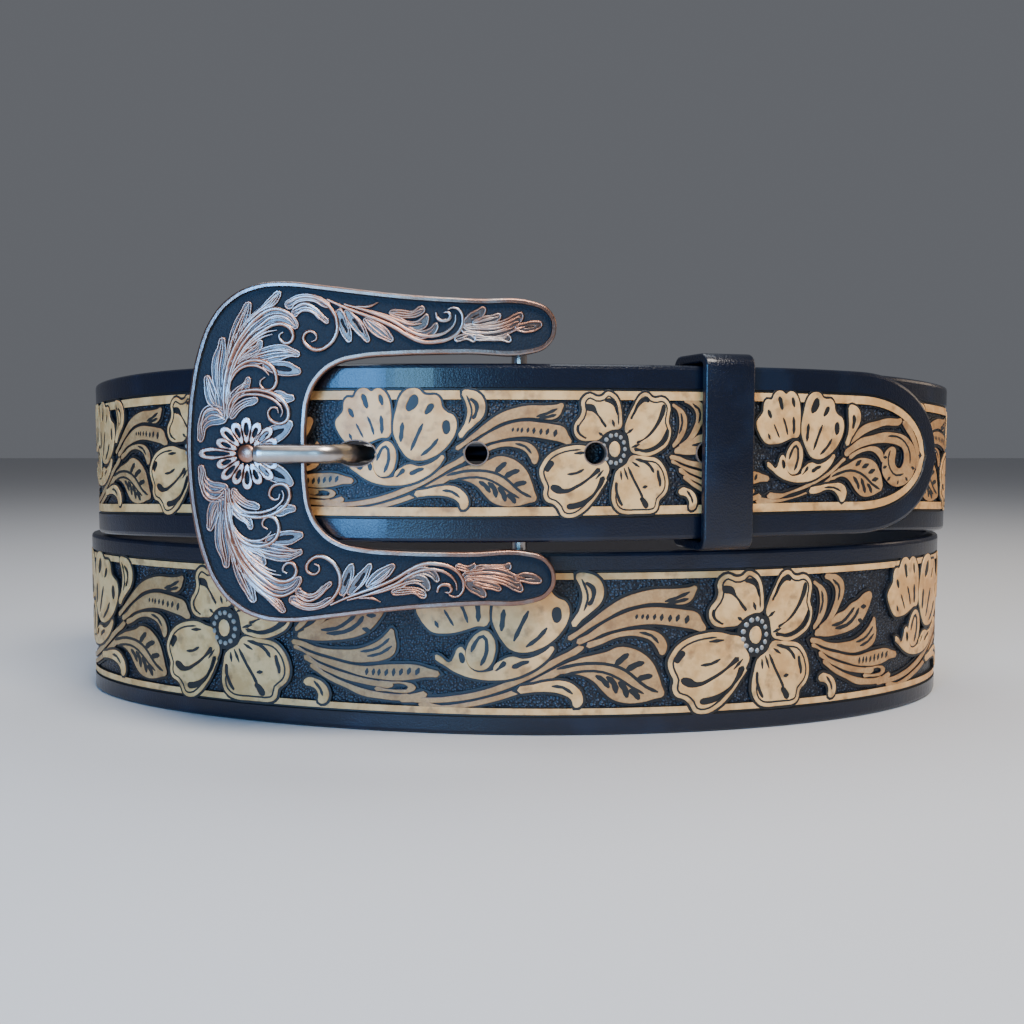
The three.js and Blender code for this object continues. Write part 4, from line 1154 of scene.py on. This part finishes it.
# Leaves of the upper half: name, outline, hollows.
LEAF_CHART = [
    ("outer leaf 1", [(-320, 79), (-322, 68), (-321, 57), (-317, 49), (-309, 47), (-308, 56), (-311, 65),
     (-315, 73)], []),
    ("outer leaf 2", [(-303, 117), (-300, 108), (-300, 98), (-303, 84), (-304, 68), (-303, 50), (-307, 46),
     (-311, 62), (-314, 80), (-313, 96), (-308, 107)], []),
    ("outer leaf 3", [(-275, 152), (-274, 142), (-276, 132), (-282, 120), (-289, 108), (-295, 96),
     (-299, 82), (-301, 66), (-302, 50), (-304, 52), (-303, 72), (-300, 92), (-297, 110), (-292, 128),
     (-284, 142)], []),
    ("outer leaf 4", [(-244, 162), (-245, 155), (-250, 149), (-260, 145), (-270, 138), (-279, 128),
     (-287, 116), (-290, 112), (-284, 126), (-274, 138), (-262, 148), (-254, 156)], []),
    ("curl body", [(-300, 52), (-297, 76), (-288, 100), (-274, 119), (-260, 128), (-246, 132), (-236, 129),
     (-227, 126), (-229, 135), (-237, 142), (-251, 145), (-267, 137), (-282, 121), (-294, 100), (-301, 74)],
     []),
    ("middle leaf 1", [(-297, 86), (-290, 97), (-278, 105), (-269, 109), (-264, 114), (-263, 107),
     (-268, 101), (-280, 96), (-290, 90)], []),
    ("middle leaf 2", [(-287, 90), (-274, 100), (-258, 107), (-242, 109), (-232, 105), (-225, 99),
     (-234, 98), (-246, 94), (-262, 91), (-276, 90)], []),
    ("middle leaf 3", [(-262, 89), (-250, 92), (-238, 92), (-230, 88), (-224, 82), (-232, 79), (-243, 79),
     (-253, 82)],
     [[(-255, 88), (-246, 89), (-237, 88), (-232, 84), (-240, 82), (-249, 84)]]),
    ("inner leaf 1", [(-300, 48), (-297, 58), (-290, 66), (-282, 71), (-277, 77), (-276, 69), (-280, 63),
     (-288, 57), (-294, 48), (-298, 40)], []),
    ("inner leaf 2", [(-296, 36), (-293, 46), (-285, 53), (-276, 56), (-268, 55), (-272, 50), (-280, 48),
     (-288, 42), (-293, 36)], []),
    ("inner leaf 3", [(-252, 61), (-246, 63), (-239, 60), (-231, 56), (-237, 52), (-243, 52), (-249, 56)],
     []),
    ("drooping leaf", [(-301, 42), (-308, 48), (-317, 49), (-324, 45), (-328, 36), (-330, 22), (-328, 12),
     (-324, 17), (-322, 25), (-316, 29), (-308, 30), (-301, 33)], []),
    ("petal leaf", [(-271, 12), (-265, 20), (-256, 27), (-245, 30), (-234, 32), (-236, 23), (-242, 16),
     (-251, 11), (-261, 10)],
     [[(-262, 16), (-254, 23), (-244, 26), (-241, 26), (-246, 19), (-254, 15)]]),
    ("arm curl leaf", [(-239, 149), (-233, 155), (-222, 159), (-210, 158), (-199, 153), (-194, 147),
     (-200, 147), (-209, 152), (-220, 153), (-229, 150), (-234, 145)], []),
    ("arm inner leaf", [(-232, 142), (-226, 147), (-217, 149), (-208, 145), (-201, 138), (-196, 131),
     (-203, 134), (-210, 140), (-218, 143), (-225, 141), (-229, 137)], []),
    ("arm leaf 1", [(-186, 144), (-180, 138), (-175, 128), (-173, 118), (-175, 112), (-180, 116),
     (-184, 124), (-187, 134)],
     [[(-183, 136), (-179, 130), (-177, 120), (-181, 125)]]),
    ("arm leaf 2", [(-179, 143), (-170, 138), (-162, 130), (-157, 120), (-156, 112), (-163, 117),
     (-171, 125), (-177, 134)],
     [[(-172, 136), (-165, 129), (-161, 120), (-168, 127)]]),
    ("arm leaf 3", [(-160, 135), (-150, 132), (-140, 126), (-134, 119), (-132, 113), (-142, 115),
     (-151, 120), (-158, 128)], []),
    ("arm leaf 4", [(-130, 136), (-118, 132), (-108, 132), (-102, 136), (-98, 139), (-97, 131), (-102, 125),
     (-114, 124), (-126, 129)],
     [[(-122, 131), (-111, 129), (-102, 132), (-105, 128), (-115, 127)]]),
    ("arm leaf 5", [(-118, 125), (-106, 122), (-95, 125), (-88, 130), (-89, 122), (-96, 117), (-108, 116)],
     []),
    ("arm top leaf", [(-135, 141), (-124, 143), (-112, 142), (-103, 147), (-100, 144), (-106, 138),
     (-118, 136), (-130, 137)], []),
    ("end leaf 1", [(-60, 129), (-57, 138), (-49, 143), (-40, 146), (-41, 139), (-48, 133), (-54, 129)],
     [[(-54, 135), (-48, 140), (-44, 141), (-48, 137)]]),
    ("end leaf 2", [(-52, 130), (-44, 136), (-34, 138), (-24, 139), (-27, 134), (-37, 131), (-46, 129)],
     []),
    ("end leaf 3", [(-62, 127), (-45, 129), (-30, 131), (-18, 135), (-9, 140), (-2, 141), (-4, 132),
     (-11, 124), (-22, 119), (-36, 117), (-50, 119), (-62, 122)], []),
    ("end leaf 4", [(-70, 114), (-63, 119), (-55, 119), (-50, 113), (-58, 115)], []),
    ("end leaf 5", [(-50, 117), (-35, 116), (-21, 117), (-16, 119), (-14, 113), (-22, 114), (-36, 114)],
     []),
    ("bud", [(-9, 127), (0, 131), (10, 133), (18, 131), (14, 126), (6, 123), (-3, 123)],
     [[(-1, 127), (7, 129), (12, 129), (6, 126)]]),
]

# Ridges of the upper half: width in squares, then the points they pass through.
RIDGE_CHART = [
    (5, [(-302, 38), (-303, 54), (-301, 76), (-294, 100), (-282, 121), (-267, 137), (-251, 145),
     (-238, 142), (-230, 135), (-227, 127)]),
    (4, [(-300, 45), (-298, 70), (-291, 95), (-279, 115), (-264, 129), (-249, 138), (-237, 135),
     (-231, 129)]),
    (4.5, [(-299, 50), (-295, 76), (-287, 97), (-275, 113), (-261, 124), (-248, 130), (-237, 128),
     (-232, 122), (-232, 115), (-237, 111), (-243, 113), (-245, 119), (-241, 122)]),
    (3.5, [(-297, 72), (-290, 92), (-281, 105), (-270, 115), (-258, 122), (-247, 124)]),
    (3.5, [(-298, 60), (-294, 82), (-284, 100), (-273, 110), (-262, 117), (-252, 120)]),
    (4.5, [(-301, 52), (-298, 70), (-292, 83), (-281, 92), (-267, 94), (-255, 89), (-249, 79), (-250, 69),
     (-256, 64), (-263, 66), (-265, 73), (-260, 77)]),
    (3.5, [(-299, 64), (-294, 76), (-285, 86), (-274, 89), (-263, 86), (-256, 79)]),
    (4.5, [(-299, 36), (-297, 50), (-290, 60), (-278, 64), (-264, 64), (-250, 59), (-240, 50), (-237, 40),
     (-241, 32), (-250, 31), (-257, 37), (-256, 45), (-249, 46), (-247, 41)]),
    (3.5, [(-297, 38), (-293, 50), (-285, 58), (-273, 60), (-260, 58), (-249, 52), (-243, 43), (-245, 37)]),
    (3.5, [(-304, 38), (-311, 45), (-319, 45), (-324, 39), (-326, 29), (-327, 17)]),
    (3, [(-302, 34), (-311, 39), (-319, 38), (-322, 30)]),
    (3, [(-318, 74), (-317, 62), (-312, 51)]),
    (3, [(-304, 112), (-307, 98), (-309, 80), (-307, 58)]),
    (3, [(-277, 148), (-285, 134), (-292, 118), (-298, 98), (-301, 76)]),
    (3, [(-247, 159), (-259, 149), (-272, 138), (-283, 124)]),
    (3, [(-266, 111), (-279, 101), (-290, 93)]),
    (3, [(-228, 100), (-244, 104), (-260, 102), (-276, 95), (-287, 88)]),
    (3, [(-230, 99), (-246, 98), (-264, 95)]),
    (3, [(-279, 72), (-290, 62), (-296, 50)]),
    (4.5, [(-237, 151), (-227, 156), (-214, 157), (-201, 152), (-191, 142), (-187, 130), (-189, 118),
     (-197, 108), (-208, 104), (-217, 108), (-221, 116), (-217, 122), (-210, 121), (-208, 115),
     (-213, 112)]),
    (3.5, [(-231, 145), (-221, 150), (-210, 146), (-202, 138), (-198, 131)]),
    (3, [(-227, 139), (-219, 144), (-211, 141), (-205, 134)]),
    (4.5, [(-197, 154), (-182, 147), (-164, 140), (-145, 133), (-130, 126), (-117, 118), (-103, 112),
     (-88, 112), (-74, 116), (-65, 124), (-62, 134), (-65, 143), (-72, 146), (-77, 144)]),
    (4, [(-180, 149), (-162, 144), (-145, 138), (-129, 131), (-116, 123), (-102, 118), (-89, 118),
     (-77, 123), (-70, 131), (-69, 139)]),
    (3.5, [(-160, 144), (-142, 139), (-126, 133), (-114, 129), (-103, 130)]),
    (4, [(-89, 141), (-87, 135), (-81, 133), (-75, 136), (-76, 141), (-81, 141)]),
    (3, [(-184, 146), (-178, 134), (-175, 118)]),
    (3, [(-174, 141), (-164, 130), (-158, 116)]),
    (3, [(-156, 133), (-144, 127), (-134, 115)]),
    (3, [(-168, 147), (-155, 147), (-146, 151)]),
    (3, [(-60, 125), (-40, 126), (-23, 130), (-11, 135), (-4, 139)]),
    (3, [(-60, 122), (-40, 121), (-23, 124), (-12, 130)]),
    (2.5, [(-50, 131), (-38, 135), (-26, 137)]),
    (3, [(-15, 121), (-8, 125), (1, 128)]),
]

# %% Levels of the casting
CAST = {"thick": 3.6, "rim": 1.0, "strap_gap": 0.45, "bow_radius": 230, "bow_centre": -3}


def strap_face(left_of_bar):
    """How far the belt's front stands before the bar, at a place to the left of it."""
    point = middle.at(np.array(float(bar_on_tip - left_of_bar)))
    return float((point - bar_axis) @ bar_normal) + HALF


def bow(x):
    """How far the bowed casting falls back at x."""
    return -((x - CAST["bow_centre"]) ** 2) / (2 * CAST["bow_radius"])


corner_edge = 188 * chart_square
back_face = max(strap_face(x) + CAST["strap_gap"] - bow(-x) for x in (inner_edge, corner_edge))
rim_top = back_face + CAST["thick"]
field = rim_top - CAST["rim"]


def placing(x_axis, y_axis, z_axis, origin):
    """The matrix that takes millimetres along three axes to the place in the scene, in metres."""
    rows = np.column_stack([x_axis, y_axis, z_axis, origin]) * MM
    return Matrix([*rows.tolist(), (0, 0, 0, 1)])


buckle_matrix = placing(bar_along, (0, 0, 1), bar_normal, bar_axis + shift)
print("casting from", round(back_face, 2), "to", round(rim_top, 2), "mm in front of the bar")


# %% Ridges, leaves and the daisy
DAISY_AT = -280


def to_squares(chart):
    """A buckle chart in the squares of the tooling chart, which raised() takes."""
    share = chart_square / SQUARE
    return [(x * share, y * share) for x, y in chart]


def rod(points, radii, resolution, roundness, closed=False):
    """A round rod through the points as a mesh, with its own radius at each of them."""
    curve = bpy.data.curves.new("rod", "CURVE")
    curve.dimensions = "3D"
    curve.resolution_u = resolution
    curve.bevel_depth = 1
    curve.bevel_resolution = roundness
    curve.use_fill_caps = True
    spline = add_spline(curve, points, closed)
    for knot, radius in zip(spline.bezier_points, radii):
        knot.radius = radius
    return mesh_of_curve(curve)


def round_strand(width, line, height, closed=False):
    """A rounded ridge through the points, half sunk in the field. An open one is thin at both ends."""
    radii = []
    for i in range(len(line)):
        share = 0.5 if closed else i / (len(line) - 1)
        swell = 0.3 + 0.7 * math.sin(math.pi * min(1, 0.12 + 0.86 * share))
        radii.append(width * chart_square * 0.5 * swell)
    return rod([(x * chart_square, y * chart_square, height) for x, y in line], radii, 4, 2, closed)


def leaf_ridges(outline):
    """Lines along a leaf from its first point to the opposite one, more of them on a broad leaf."""
    last = len(outline) // 2
    pairs = [(Vector(outline[i]), Vector(outline[-i])) for i in range(1, last)]
    breadth = max((a - b).length for a, b in pairs)
    shares = (0.5,) if breadth < 9 else (0.33, 0.67) if breadth < 15 else (0.25, 0.5, 0.75)
    for share in shares:
        inner = [tuple(a.lerp(b, share)) for a, b in pairs]
        yield [outline[0], *inner, outline[last]]


def daisy(mesh, centre):
    """Sixteen hollow petals round a boss. The left one is long, and the right one is short for the prong."""
    for i in range(16):
        turn = 2 * math.pi * i / 16
        reach = {8: 50, 0: 20}.get(i, 37 if i % 2 == 0 else 34)

        def spot(along, across):
            x = centre + along * math.cos(turn) - across * math.sin(turn)
            return x, along * math.sin(turn) + across * math.cos(turn)

        petal = [(11, 1.2), (20, 3.3), (reach - 5, 5.2), (reach, 0)]
        hollow = [(18, 0.5), (reach - 9, 1.8), (reach - 6, 0)]
        loops = []
        for half in (petal, hollow):
            whole = half + [(x, -y) for x, y in reversed(half[:-1])]
            loops.append(to_squares([spot(*place) for place in whole]))
        add_part(mesh, raised(loops, field - 0.3, field + 0.66, 0.2))
    boss = Matrix.Translation((centre * chart_square, 0, field)) @ Matrix.Diagonal((2.1, 2.1, 1.15, 1))
    bmesh.ops.create_uvsphere(mesh, u_segments=24, v_segments=12, radius=1, matrix=boss)


def smooth_faces(mesh):
    for face in mesh.faces:
        face.smooth = True

# %% The scrollwork and the plate
def cast_ornament():
    half_mesh = bmesh.new()
    for _, outline, hollows in LEAF_CHART:
        loops = [to_squares(outline), *[to_squares(hollow) for hollow in hollows]]
        add_part(half_mesh, raised(loops, field - 0.3, field + 0.3, 0.2, 0.3))
        add_part(half_mesh, round_strand(2.3, outline, field + 0.34, closed=True))
        for line in leaf_ridges(outline) if not hollows else ():
            add_part(half_mesh, round_strand(2.6, line, field + 0.34))
    for width, line in RIDGE_CHART:
        add_part(half_mesh, round_strand(width * 1.1, line, field + 0.36))
    copy = bmesh.ops.duplicate(half_mesh, geom=[*half_mesh.verts, *half_mesh.edges, *half_mesh.faces])["geom"]
    mirrored = [item for item in copy if isinstance(item, bmesh.types.BMVert)]
    bmesh.ops.scale(half_mesh, vec=(1, -1, 1), verts=mirrored)
    faces = [item for item in copy if isinstance(item, bmesh.types.BMFace)]
    bmesh.ops.reverse_faces(half_mesh, faces=faces)
    daisy(half_mesh, DAISY_AT)
    return half_mesh


def cast_plate():
    upper = to_squares(FRAME_CHART)
    outline = upper + [(x, -y) for x, y in reversed(upper[1:-1])]
    plate = bpy.data.objects.new("plate", raised([outline], back_face, rim_top, 0.4, resolution=6))
    tray = bpy.data.objects.new("tray", raised([outline], field, rim_top + 2, 0.25, -0.95, resolution=6))
    for thing in (plate, tray):
        bpy.context.collection.objects.link(thing)
        thing.data.materials.clear()
    cut_away(plate, [tray])
    mesh = bmesh.new()
    mesh.from_mesh(plate.data)
    bpy.data.objects.remove(plate)
    lug_top = (back_face + rim_top) / 2
    for side in (1, -1):
        across = side * (101 * chart_square + LUG["gap"] + LUG["depth"] / 2)
        place = Matrix.Translation((0, across, (lug_top - LUG["below_bar"]) / 2))
        size = Matrix.Diagonal((LUG["width"], LUG["depth"], lug_top + LUG["below_bar"], 1))
        made = bmesh.ops.create_cube(mesh, size=1, matrix=place @ size)
        edges = {edge for vertex in made["verts"] for edge in vertex.link_edges}
        edging = {"offset": 0.5, "segments": 2, "profile": 0.5, "material": -1, "affect": "EDGES"}
        bmesh.ops.bevel(mesh, geom=list(edges), **edging)
    return mesh

# %% Set the casting at the bar
def set_at_bar(name, mesh, material):
    bmesh.ops.transform(mesh, matrix=buckle_matrix, verts=mesh.verts)
    piece = mesh_object(name, mesh, [material])
    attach(piece, "root")
    print(name, triangles_of(piece), "triangles")
    return piece


def set_casting(name, mesh, material, brightest=1.0):
    """Slices the flat casting, notes its levels, bows it and moves it to the bar."""
    reach = [vertex.co.x for vertex in mesh.verts]
    slice_along(mesh, min(reach) + 1, max(reach))
    levels = []
    for vertex in mesh.verts:
        height = vertex.co.z - field
        levels.append(0.7 if height < -0.5 else min(brightest, max(0, (height + 0.05) / 0.75)))
        vertex.co.z += bow(vertex.co.x)
    piece = set_at_bar(name, mesh, material)
    piece.data.attributes.new("level", "FLOAT", "POINT").data.foreach_set("value", levels)
    return piece


COPPER = (0.46, 0.23, 0.16)
SILVER = (0.48, 0.42, 0.4)
cast_metal = metal_finish("antiqued cast metal", COPPER, SILVER, (0.014, 0.018, 0.025), 0.24)
plate_piece = set_casting("buckle_plate", cast_plate(), cast_metal, brightest=0.68)
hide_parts("buckle_frame")
ornament_mesh = cast_ornament()
smooth_faces(ornament_mesh)
ornament = set_casting("buckle_scrollwork", ornament_mesh, cast_metal)

# %% [markdown]
# ## Prong, bar and keeper
#
# The prong is a bent steel rod with a ring at its end. It goes under the strap, up through the hole and lies
# on the frame. Past the hole it is painted black, for the shade under the leather. The keeper is a strip of
# the same glossy leather, folded round the belt with soft corners.

# %% The prong
STEEL = (0.55, 0.5, 0.47)
steel = plain_finish("worn steel", STEEL, 0.28, 1.0, 2.0)
# Painted shade: the prong is black to the right of this x, where it runs under the leather.
prong_shade_from = float((bar_axis + shift)[0] - hole_from_bar + 1) * MM
rod_steel = plain_finish("prong steel", STEEL, 0.28, 1.0, 2.0, prong_shade_from)
half_rod = PRONG["thick"] / 2
crossing_depth = strap_face(hole_from_bar) - HALF
rest_height = rim_top + bow(-inner_edge) + PRONG["rest_gap"] + half_rod
under_height = min(0, strap_face(hole_from_bar - 6) - (STRAP["thick"] + PRONG["under_gap"] + half_rod))
prong_tip = -DAISY_AT * chart_square - 1.7

# How far to the left of the bar, how far in front of it, and the rod's radius there.
route = [
    (3, 0, half_rod),
    (hole_from_bar - 12, under_height, half_rod),
    (hole_from_bar - 6, under_height, half_rod),
    (hole_from_bar - HALF, crossing_depth - HALF, half_rod),
    (hole_from_bar + HALF, crossing_depth + HALF, half_rod),
    (hole_from_bar + 0.53 * PRONG["rise"], mix(crossing_depth, rest_height, 0.93), half_rod),
    (hole_from_bar + 0.95 * PRONG["rise"], rest_height, half_rod),
    (prong_tip - 1.2, rest_height, half_rod),
    (prong_tip - 0.3, rest_height, 1.15),
    (prong_tip, rest_height, 0.5),
]


def prong_mesh():
    """The bent rod, a little wider than it is thick, and the ring, spun from its section round the bar."""
    data = rod([(-left, 0, before) for left, before, _ in route], [radius for _, _, radius in route], 6, 5)
    mesh = bmesh.new()
    mesh.from_mesh(data)
    bpy.data.meshes.remove(data)
    bmesh.ops.scale(mesh, vec=(1, PRONG["width"] / PRONG["thick"], 1), verts=mesh.verts)
    bore = BAR["diameter"] / 2 + BAR["clearance"]
    edge, corner, wall = PRONG["width"] / 2, 0.4, PRONG["ring_wall"]
    outside = bore + wall
    half = [(bore, edge - corner), (bore + corner, edge), (outside - corner, edge), (outside, edge - corner)]
    section = [(r, -y) for r, y in half] + half[::-1]
    profile = [mesh.verts.new((r, y, 0)) for r, y in section]
    ring = [mesh.edges.new((profile[i], profile[(i + 1) % len(profile)])) for i in range(len(profile))]
    bmesh.ops.spin(
        mesh, geom=[*profile, *ring], cent=(0, 0, 0), axis=(0, 1, 0), angle=2 * math.pi,
        steps=40, use_merge=True,
    )
    bmesh.ops.remove_doubles(mesh, verts=mesh.verts, dist=0.001)
    bmesh.ops.recalc_face_normals(mesh, faces=mesh.faces)
    smooth_faces(mesh)
    return mesh


prong = set_at_bar("prong_rod", prong_mesh(), rod_steel)
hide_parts("prong")

# %% The keeper
def rounded_box(low, high, radius):
    """A rectangle with round corners, in chart squares, from its low and its high corner in millimetres."""
    left, right = low[0] + radius, high[0] - radius
    bottom, top = low[1] + radius, high[1] - radius
    points = []
    for quarter, (x, y) in enumerate(((right, top), (left, top), (left, bottom), (right, bottom))):
        for i in range(6):
            turn = math.radians(90 * quarter + 18 * i)
            points.append(((x + radius * math.cos(turn)) / SQUARE, (y + radius * math.sin(turn)) / SQUARE))
    return points


outward = HALF + KEEPER["face"]
inward = HALF + STEP + STRAP["gap"] + STRAP["fold"] + KEEPER["face"]
low = (-STRAP["end"] / 2 - KEEPER["seat"], -inward)
high = (STRAP["end"] / 2 + KEEPER["top"], outward)
wall = KEEPER["wall"]
low_out, high_out = [value - wall for value in low], [value + wall for value in high]
outside = rounded_box(low_out, high_out, KEEPER["corner"] + wall)
inside = rounded_box(low, high, KEEPER["corner"])
keeper_data = raised([outside, inside], -KEEPER["width"] / 2, KEEPER["width"] / 2, 0.45, resolution=1)
point, along, normal, up = middle.frame(bar_on_tip + KEEPER["from_bar"])
keeper_data.transform(placing(up, normal, along, point + shift))
keeper_mesh = bmesh.new()
keeper_mesh.from_mesh(keeper_data)
keeper = mesh_object("keeper_loop", keeper_mesh, [border_finish("keeper leather", grain_depth=0.14)])
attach(keeper, "root")
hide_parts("keeper")

for name in ("buckle_bar", "fold_post_1", "fold_post_2"):
    nodes[name].data.materials.clear()
    nodes[name].data.materials.append(steel)
print("prong, bar, posts and keeper are finished")
